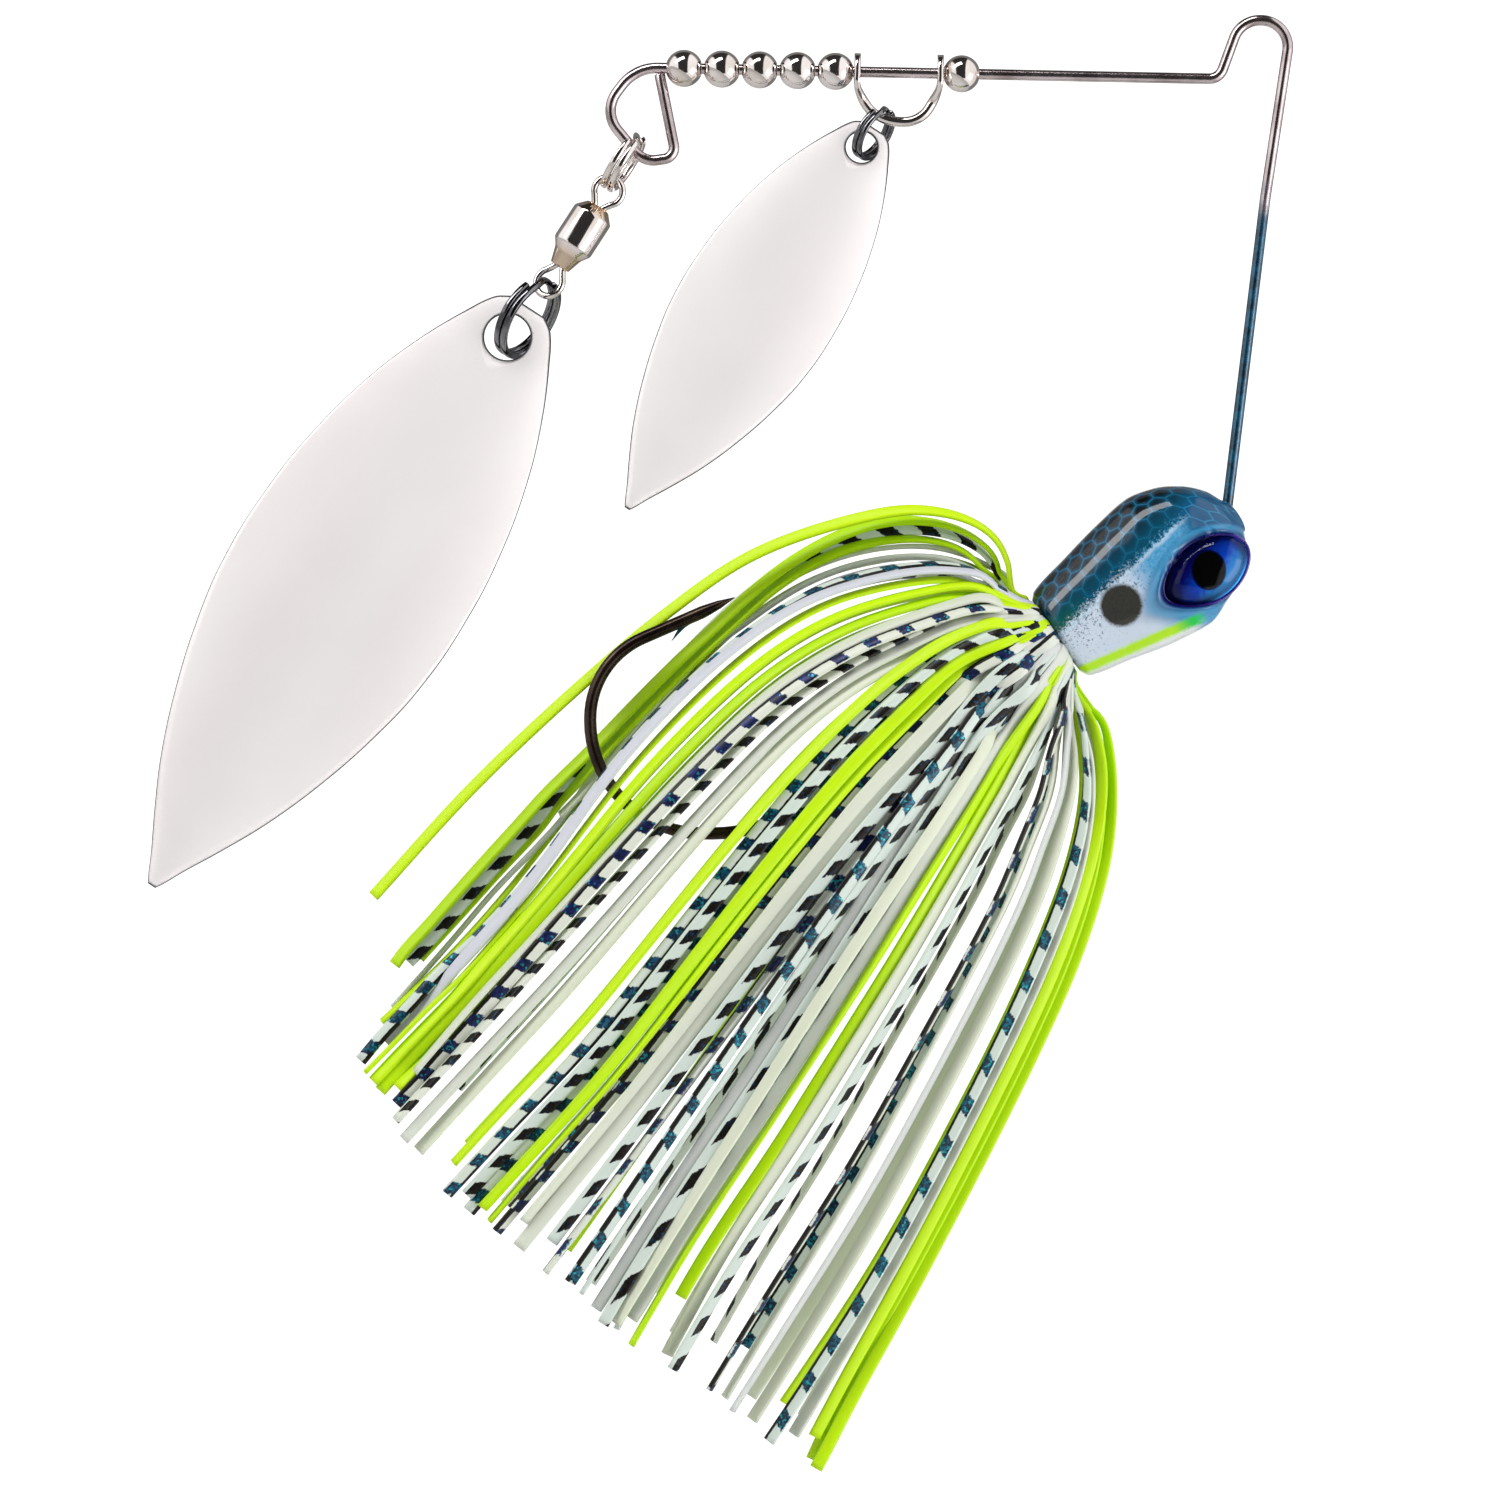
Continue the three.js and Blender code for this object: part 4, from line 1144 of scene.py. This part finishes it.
# Near side, from crest to throat: place among the guides, look, share of the length, how
# far out it lies. c is chartreuse, p pearl, g printed with glitter, b printed in black.
NEAR = [
    (0.04, "c", 1.0, 0.6), (1.0, "c", 1.0, 0.5), (1.16, "b", 0.97, 0.4), (1.8, "c", 0.98, 0.3),
    (1.55, "p", 0.7, 0.2), (2.0, "p", 1.0, 0.1), (2.15, "p", 0.98, 0.5), (2.1, "g", 1.03, 0.0),
    (2.3, "c", 1.0, 0.1), (2.5, "c", 1.01, 0.3), (2.7, "c", 1.0, 0.2), (2.85, "c", 0.98, 0.0),
    (2.9, "p", 0.96, 0.9), (3.0, "g", 1.0, 1.0), (3.12, "b", 1.0, 0.8), (3.3, "p", 1.0, 0.5),
    (3.45, "p", 1.01, 0.2), (3.75, "c", 0.98, 0.9), (3.9, "g", 1.0, 0.6), (4.05, "b", 0.99, 0.7),
    (4.2, "g", 1.0, 0.4), (4.3, "c", 0.99, 0.8), (4.45, "c", 1.03, 0.5), (4.62, "g", 1.01, 0.3),
    (4.8, "p", 0.97, 1.0), (4.95, "p", 1.0, 0.6), (5.15, "b", 0.98, 0.8), (5.3, "g", 1.0, 0.4),
    (5.5, "g", 1.0, 1.2), (5.65, "b", 1.0, 0.7), (5.85, "p", 1.0, 0.2), (6.0, "b", 1.0, 0.9),
    (6.2, "p", 1.0, 1.2), (6.3, "b", 1.01, 0.5), (6.5, "p", 0.98, 0.6), (6.85, "c", 1.0, 1.1),
    (7.15, "c", 0.93, 0.4), (7.3, "p", 1.0, 0.2), (7.5, "b", 1.0, 0.8), (8.0, "g", 1.0, 1.0),
    (8.2, "p", 1.01, 0.4), (8.4, "p", 1.02, 0.8), (8.65, "p", 1.0, 0.2), (9.0, "g", 1.0, 1.0),
    (9.3, "p", 0.99, 0.4), (9.65, "c", 0.98, 0.7), (9.85, "c", 1.0, 0.2), (10.0, "c", 1.01, 0.5),
]
# The strands that lie over the collar, by their place, and where they cross it
OVER_COLLAR = {4.8: 4.55, 5.5: 5.45, 6.2: 6.35}
# The far side's looks, evenly spread from crest to throat
FAR = "cpgcpbcpgpcbpgcpbgpcpc"
# Up to this place the strands of NEAR pass behind the hook, on the far side of the neck
BEHIND_HOOK = 2.05
# Each look's tufts, and their angles round the neck in degrees, with the far side positive
TUFTS = {
    "chartreuse": {
        "crest_far": 15,
        "crest_near": -15,
        "side_near": -75,
        "lower_far": 105,
        "throat_near": -165,
    },
    "pearl": {"upper_far": 45, "belly_near": -135, "belly_far": 135},
    "printed": {"upper_near": -45, "side_far": 75, "lower_near": -105, "throat_far": 165},
}
LOOK_OF = {"c": "chartreuse", "p": "pearl", "g": "printed", "b": "printed"}
# Degrees round the neck from one guide to the next
GUIDE_ANGLE = 18
STRAND_STEPS = 130
STRAND_THICKNESS = 0.42
STRAND_GAP, HOOK_GAP = 0.95 * MM, 1.15 * MM
LARGEST_PUSH = 0.3 * MM
PUSH_ROUNDS = 14


def guide_route(place):
    """A route between two guides, at equal steps from the collar to the tip."""
    low = min(int(place), len(GUIDES) - 2)
    share = place - low
    lines = [smooth_path([Vector((x, 0, z)) for x, z in GUIDES[k]], 24) for k in (low, low + 1)]
    return [a.lerp(b, share) for a, b in zip(*lines)]


def strand_line(place, side, reach, out, chance, over):
    """The centre line of a strand, and the direction its flat face turns to at the collar."""
    angle = side * math.radians(GUIDE_ANGLE * place)
    wide = 1.2 + 6.1 * math.sin(abs(angle)) + 0.9 * out
    sway = chance.uniform(-0.5, 0.5)
    route = guide_route(place)
    route = even_steps(route, 24)
    points = []
    for k, spot in enumerate(route):
        t = k / (len(route) - 1)
        grown = math.sin(min(1.0, t / 0.42) * math.pi / 2) * (1 - 0.18 * max(0.0, t - 0.5) * 2)
        foot_y = 4.2 * abs(math.sin(angle)) + 0.2
        y = side * (foot_y + (wide - foot_y) * grown)
        wave = sway * math.sin(math.pi * 1.3 * t) * (0.25 + t)
        points.append(tilted(spot.x + wave, y + wave, spot.z + wave * 0.6))
    if over:
        turned = side * math.radians(GUIDE_ANGLE * over)
        foot = [around_neck(-0.3, 3.95, turned), around_neck(-2.0, 4.15, turned)]
        foot.append(around_neck(-3.9, 4.3, turned))
    else:
        front = chance.uniform(-0.6, -0.2)
        foot = [around_neck(front - 0.9, 2.5, angle), around_neck(front - 0.1, 3.0, angle)]
        foot += [around_neck(front, 3.7, angle), around_neck(front - 0.5, 4.4, angle)]
    line = smooth_path(foot + points[1:], STRAND_STEPS)
    line = even_steps(line[: max(8, int(len(line) * min(reach, 1.0)))], STRAND_STEPS)
    outward = around_neck(-3, 3, angle) - around_neck(-3, 0, angle)
    return line, outward.normalized()


def push_apart(lines, fixed):
    """Moves strands off each other and off the hook, and keeps each one smooth."""
    held = 10
    for _ in range(PUSH_ROUNDS):
        count = len(lines) * STRAND_STEPS
        tree = KDTree(count)
        for i, line in enumerate(lines):
            for k, point in enumerate(line):
                tree.insert(point, i * STRAND_STEPS + k)
        tree.balance()
        moves = {}
        for i, line in enumerate(lines):
            for k in range(held, STRAND_STEPS, 3):
                push = Vector()
                for spot, index, far in tree.find_range(line[k], STRAND_GAP):
                    if index // STRAND_STEPS != i and far > 1e-9:
                        push += (line[k] - spot) * (0.2 * (STRAND_GAP - far) / far)
                spot, _, far = fixed.find(line[k])
                if far < HOOK_GAP:
                    away = line[k] - spot
                    away.y *= 3
                    push += away.normalized() * (HOOK_GAP - far) * 0.8
                if push.length > LARGEST_PUSH:
                    push = push.normalized() * LARGEST_PUSH
                moves[(i, k)] = push
        for (i, k), push in moves.items():
            for step in range(-4, 5):
                if held <= k + step < STRAND_STEPS:
                    lines[i][k + step] += push * (1 - abs(step) / 5) * 0.5
        for line in lines:
            for k in range(held, STRAND_STEPS - 1):
                line[k] = line[k].lerp((line[k - 1] + line[k + 1]) / 2, 0.35)


def ribbon(shape, line, up, chance, width, twist, kind, pitch=2.9, settle=1.0):
    """A flat silicone strand with rounded edges, which turns slowly over its length."""
    section = []
    for a, b in circle(1, 12):
        p = math.copysign(abs(a) ** 0.6, a) * width / 2
        q = math.copysign(abs(b) ** 0.6, b) * STRAND_THICKNESS / 2
        section.append((p, q))
    gone, start = [0.0], chance.uniform(0, 40)
    for a, b in zip(line, line[1:]):
        gone.append(gone[-1] + (b - a).length / MM)
    rings = []
    for k, (point, (_, side, top)) in enumerate(zip(line, carried(line, up))):
        t = k / (len(line) - 1)
        turned = min(1.0, t / settle)
        a = twist * turned * turned * (3 - 2 * turned)
        across = side * math.cos(a) + top * math.sin(a)
        normal = top * math.cos(a) - side * math.sin(a)
        pinch = 1 - 0.25 * math.exp(-gone[k] / 0.8)
        rings.append([point + (across * p * pinch + normal * q) * MM for p, q in section])
    spread = [2 * p / width for p, _ in section]
    shape.rings(
        rings,
        along=[(g + start) / pitch for g in gone],
        length=gone,
        across=[spread] * len(rings),
        kind=[kind] * len(rings),
        hue=[chance.random()] * len(rings),
    )


def add_skirt():
    """Every strand of the skirt, one piece for each tuft, and what ties them on."""
    chance = random.Random(7)
    rows = []
    for place, look, reach, out in NEAR:
        near = place > BEHIND_HOOK
        rows.append((place, -1 if near else 1, look, reach, out if near else 0))
    for i, look in enumerate(FAR):
        place = 1.3 + 8.5 * i / (len(FAR) - 1)
        rows.append((place, 1, look, chance.uniform(0.94, 1.0), chance.random()))
    lines, facts = [], []
    for place, side, look, reach, out in rows:
        over = OVER_COLLAR.get(place, 0) if side < 0 else 0
        line, up = strand_line(place, side, reach, out, chance, over)
        lines.append(line)
        facts.append((place, side, look, up))
    hook_line = even_steps(bent([on_head(-5, HOOK_RISE), *HOOK_BENDS, (-43.2, -46.9)]), 300)
    fixed = KDTree(len(hook_line))
    for i, point in enumerate(hook_line):
        fixed.insert(point, i)
    fixed.balance()
    push_apart(lines, fixed)
    shapes = {}
    for line, (place, side, look, up) in zip(lines, facts):
        name = LOOK_OF[look]
        angle = side * GUIDE_ANGLE * place
        tuft = min(TUFTS[name], key=lambda t: abs(TUFTS[name][t] - angle))
        shape = shapes.setdefault((name, tuft), Shape())
        twist = math.radians(chance.uniform(-75, 75))
        width = chance.uniform(1.02, 1.16)
        pitch = chance.uniform(2.5, 3.4) if place < 4.9 else chance.uniform(3.2, 5.2)
        settle = 1.0
        if abs(math.sin(math.radians(angle))) < 0.45:
            # By the crest and the throat a strand soon turns its flat face to the side
            twist, settle = math.radians(chance.uniform(55, 115)), 0.3
        if place < 0.5:
            twist = math.radians(62)
        kind = 1.0 if look == "b" else 0.0
        ribbon(shape, line, up, chance, width, twist, kind, pitch, settle)
    looks = {"chartreuse": chartreuse_look(), "pearl": pearl_look(), "printed": printed_look()}
    for (name, tuft), shape in shapes.items():
        node = "skirt_tuft_" + tuft
        shape.piece(f"skirt_strands_{tuft}", looks[name], "strand_" + name, "root", [node])
    add_front_ends(chance, looks)
    add_tie(chance)


def add_front_ends(chance, looks):
    """The short cut ends of the strands, between the tie and the back of the skull."""
    shapes = {name: Shape() for name in TUFTS}
    ends = 40
    for i in range(ends):
        angle = 2 * math.pi * (i + chance.uniform(-0.2, 0.2)) / ends
        name = ("chartreuse", "printed", "pearl", "chartreuse", "printed")[i % 5]
        layer = (i % 2) * 0.42
        lean = chance.uniform(-0.12, 0.12)
        end = chance.uniform(-1.2, -0.9)
        places = [(-3.3, 2.15), (-2.4, 2.2 + layer * 0.6), (-1.7, 2.3 + layer), (end, 2.4 + layer)]
        spots = [around_neck(at, r, angle + lean * k / 3) for k, (at, r) in enumerate(places)]
        up = (around_neck(-3, 3, angle) - around_neck(-3, 0, angle)).normalized()
        ribbon(shapes[name], smooth_path(spots, 14), up, chance, 0.8, 0.3 * lean, i % 2)
    for name, shape in shapes.items():
        nodes = ["skirt_front_ends"] if name == "chartreuse" else []
        shape.piece(f"skirt_cut_ends_{name}", looks[name], "strand_" + name, "root", nodes)


def add_tie(chance):
    """Black rubber thread wound round the strands over the neck, with its two loose ends."""
    shape = Shape()
    points = []
    turns, steps = 4, 40
    for i in range(turns * steps + 1):
        angle = 2 * math.pi * i / steps
        along = -3.75 + 1.0 * i / (turns * steps) + 0.12 * math.sin(angle * 1.7)
        points.append(around_neck(along, 2.9 + 0.1 * math.sin(angle * 2.3 + 1), angle))
    rod(shape, points, circle(0.26, 12), up=points[0] - around_neck(-3.75, 0, 0))
    for angle, reach in ((-2.35, 4.9), (-2.2, 5.2), (-2.5, 4.6), (-0.95, 4.8), (-1.1, 4.5), (2.0, 4.4)):
        swing = angle + chance.uniform(-0.15, 0.15)
        spots = [around_neck(-3.0, 2.8, angle), around_neck(-2.4, 3.9, angle)]
        spots += [around_neck(-3.0, reach, swing), around_neck(-4.4, reach + 0.5, swing)]
        rod(shape, smooth_path(spots, 20), circle(0.19, 10))
    look = Look("thread_black", Roughness=0.55, Sheen_Weight=0.2, Specular_IOR_Level=0.3)
    worn = look.step(look.noise(2.5, 5.0, rough=0.7), 0.4, 0.7)
    look.drive(Base_Color=look.mix(worn, srgb(20, 18, 14), srgb(48, 42, 34)))
    fibre = look.join(look.value("along") * 0.6, look.value("turn") * 3.0, 0.0)
    look.drive(Normal=look.bump(look.noise(5.0, 4.0, fibre), 0.5, 0.05))
    shape.piece("skirt_tie_thread", look.material, "band_black", "root", ["skirt_collar"])


def silicone(name, rough, glow):
    """Soft silicone: light passes a little way through it."""
    return Look(
        name,
        Roughness=rough,
        Subsurface_Weight=glow,
        Subsurface_Scale=0.5 * MM,
        Subsurface_Radius=(1.0, 1.0, 0.8),
        Specular_IOR_Level=0.3,
    )


def strand_finish(look):
    """Fine moulding lines along the strand and slight waviness."""
    run = look.value("length") * 0.15
    lines = look.join(run, look.value("across") * 1.6, look.value("hue"))
    fine = look.noise(2.2, 2.0, lines, 0.5)
    look.drive(Normal=look.bump(fine, 0.16, 0.04))
    return fine


def chartreuse_look():
    """Bright yellow green, deeper at the strand's edges, with a few darker flecks."""
    look = silicone("silicone_chartreuse", 0.42, 0.12)
    fine = strand_finish(look)
    tone = look.value("hue") * 0.6 + fine * 0.4
    base = look.mix(look.step(tone, 0.1, 0.9), srgb(184, 230, 0), srgb(208, 245, 14))
    edge = look.step(abs(look.value("across")), 0.75, 1.0)
    base = look.mix(edge * 0.35, base, srgb(160, 212, 0))
    fleck = look.step(look.noise(1.3, 4.0, rough=0.8), 0.74, 0.77)
    look.drive(Base_Color=look.mix(fleck * 0.4, base, srgb(120, 170, 10)))
    return look.material


def pearl_look():
    """Off white that leans to cream, grey or lilac from strand to strand."""
    look = silicone("silicone_pearl", 0.36, 0.25)
    fine = strand_finish(look)
    hue = look.value("hue")
    base = look.mix(look.step(hue, 0.2, 0.7), srgb(216, 222, 198), srgb(206, 210, 204))
    base = look.mix(look.step(hue, 0.78, 0.95), base, srgb(204, 206, 222))
    base = look.mix(fine * 0.3, base, srgb(232, 236, 226))
    dots = look.step(look.noise(2.2, 3.0, rough=0.8), 0.7, 0.74)
    look.drive(Base_Color=look.mix(dots * 0.3, base, srgb(176, 186, 176)))
    return look.material


def printed_look():
    """Pale silicone printed in patches: dark glitter on some strands, black on others."""
    look = silicone("silicone_printed", 0.32, 0.15)
    fine = strand_finish(look)
    along, across = look.value("along"), look.value("across")
    hue, kind = look.value("hue"), look.value("kind")
    ragged = look.noise(2.6, 4.0, rough=0.7)
    slip = ragged * 0.24 - 0.12
    phase = along + slip
    slant = across * (kind * 0.12 + 0.07)
    cycle = look.math("FRACT", phase + slant)
    wave = abs(cycle - 0.5)
    long = kind * 0.03 + 0.2
    inside = look.step(wave - long, 0.015, -0.015)
    lean = kind * 0.5
    reach = abs(across - lean)
    inside = inside * look.step(reach + slip, 0.98, 0.9)
    turned = across - (look.step(hue, 0.4, 0.5) * 1.5 - 0.75)
    strip = look.step(abs(turned) + slip, 0.42, 0.32)
    dash = strip * look.step(wave, 0.14, 0.17)
    dash = dash * (1.0 - kind)
    body = look.mix(look.step(hue, 0.2, 0.8), srgb(218, 222, 208), srgb(204, 218, 210))
    body = look.mix(fine * 0.3, body, srgb(232, 236, 228))
    flake = look.node("TexVoronoi", {"Vector": look.places, "Scale": 5.5 / MM}, "Color")
    shade = look.node("SeparateColor", {0: flake})
    teal = look.step(hue, 0.35, 0.6)
    glitter = look.mix(look.step(shade, 0.45, 0.7), srgb(16, 22, 54), srgb(30, 44, 104))
    other = look.mix(look.step(shade, 0.4, 0.75), srgb(10, 34, 56), srgb(14, 96, 120))
    glitter = look.mix(teal, glitter, other)
    glitter = look.mix(look.step(shade, 0.88, 0.92), glitter, srgb(38, 150, 160))
    black = look.mix(look.step(shade, 0.88, 0.95), srgb(22, 18, 14), srgb(30, 60, 90))
    ink = look.mix(kind, glitter, black)
    freckle = look.step(look.noise(1.7, 3.0, rough=0.8), 0.7, 0.73)
    body = look.mix(freckle * 0.5, body, srgb(150, 190, 196))
    printed = look.mix(inside, body, ink)
    look.drive(Base_Color=look.mix(dash, printed, srgb(20, 18, 14)))
    look.drive(Subsurface_Weight=inside * -0.15 + 0.15)
    shine = inside * look.step(shade, 0.5, 0.9)
    look.drive(Metallic=shine * 0.5)
    return look.material


# ---- Light, floor and finish ----------------------------------------------


def light_tent():
    """A bright tent all round, with one dark opening above the lens and darker wings."""
    world = bpy.data.worlds.new("tent")
    bpy.context.scene.world = world
    world.use_nodes = True
    tent = Nodes(world.node_tree)
    way = tent.node("TexCoord", output="Generated")

    def toward(direction, low, high):
        """How far the light's direction leans to another, as a smooth step."""
        sockets = {0: way, 1: tuple(direction)}
        dot = tent.node("VectorMath", sockets, "Value", operation="DOT_PRODUCT")
        return tent.step(dot, low, high)

    up = Vector((-math.sin(TILT), 0, math.cos(TILT)))
    right = Vector((math.cos(TILT), 0, math.sin(TILT)))
    ahead = Vector((0, 1, 0))
    opening = toward(up, -0.56, -0.5) * toward(right, -0.62, -0.54) * toward(right, 0.4, 0.34)
    opening = opening * toward(-ahead, -0.6, -0.4)
    wings = toward(ahead, 0.15, 0.45) * toward(ahead, 0.97, 0.9)
    dark = tent.math("MAXIMUM", opening * 0.97, wings * 0.8)
    white, straw = (1, 1, 1, 1), (1, 0.9, 0.72, 1)
    background = tent.tree.nodes["Background"].inputs
    tent.feed(background["Color"], tent.mix(toward(up, -0.7, -0.92), white, straw))
    tent.feed(background["Strength"], (1.0 - dark) * 1.26)


def add_floor():
    """A pale, slightly mottled floor well below the lure."""
    look = Look("floor_pale", Roughness=0.8)
    patch = look.step(look.noise(0.01, 4.0), 0.3, 0.7)
    look.drive(Base_Color=look.mix(patch, srgb(240, 240, 240), srgb(246, 246, 245)))
    look.drive(Normal=look.bump(look.noise(0.4, 3.0), 0.05, 0.2))
    mesh = bpy.data.meshes.new("floor")
    shell = bmesh.new()
    bmesh.ops.create_circle(shell, cap_ends=True, radius=FLOOR_RADIUS, segments=96)
    shell.to_mesh(mesh)
    shell.free()
    mesh.materials.append(look.material)
    floor = bpy.data.objects.new("floor", mesh)
    bpy.context.scene.collection.objects.link(floor)
    floor.location = (0, 0, FLOOR_HEIGHT)


light_tent()
add_floor()
add_area("lamp_left", (-0.56, -0.34, 0.26), (0.39, 0, 0.92), (0.7, 0.2), 3.4, (1, 0.99, 0.98))
add_area("lamp_right", (0.55, -0.35, 0.1), (0, 0, 1), (0.4, 0.3), 1.6, (1, 0.99, 1))

add_wire_frame()
add_head()
add_eyes()
add_skirt()
add_hook()
nickel = nickel_look()
dark_chrome = dark_chrome_look()
for number in range(5):
    add_bead(f"bead_{number + 1}", LAST_BEAD_X + BEAD_PITCH * number, nickel)
add_bead("front_bead", FRONT_BEAD_X, nickel)
add_clevis(nickel)
# Each ring's centre in the row frame, its turn about the vertical, its outer and wire radius
dark, bright = (dark_chrome, "dark_chrome"), (nickel, "bright_nickel")
add_split_ring("small_split_ring", (-21.85, 0, -24.65), HANG_YAW, 2.4, 0.23, *dark)
add_split_ring("loop_split_ring", (-37.75, 0, -37.85), math.radians(6), 2.7, 0.29, *bright)
add_split_ring("large_split_ring", (-37.4, 0, -52.8), HANG_YAW, 3.65, 0.3, *dark)
ball_look = metal("ball_steel_ground", (190, 190, 192), (160, 160, 164), 0.12, 0.02, drawn=False)
add_swivel(nickel, ball_look.material)
silver = blade_look()
# Each blade's hole in the row frame, length, width, hole radius, drop to the hole and dish
add_blade("small_blade", (-22.05, 0, -26.2), 37.2, 13, 1.28, 1.9, 0.9, silver)
add_blade("large_blade", (-37.9, 0, -55.05), 56.6, 19.8, 1.9, 3, 1.3, silver)

bpy.context.scene.view_settings.view_transform = "Standard"
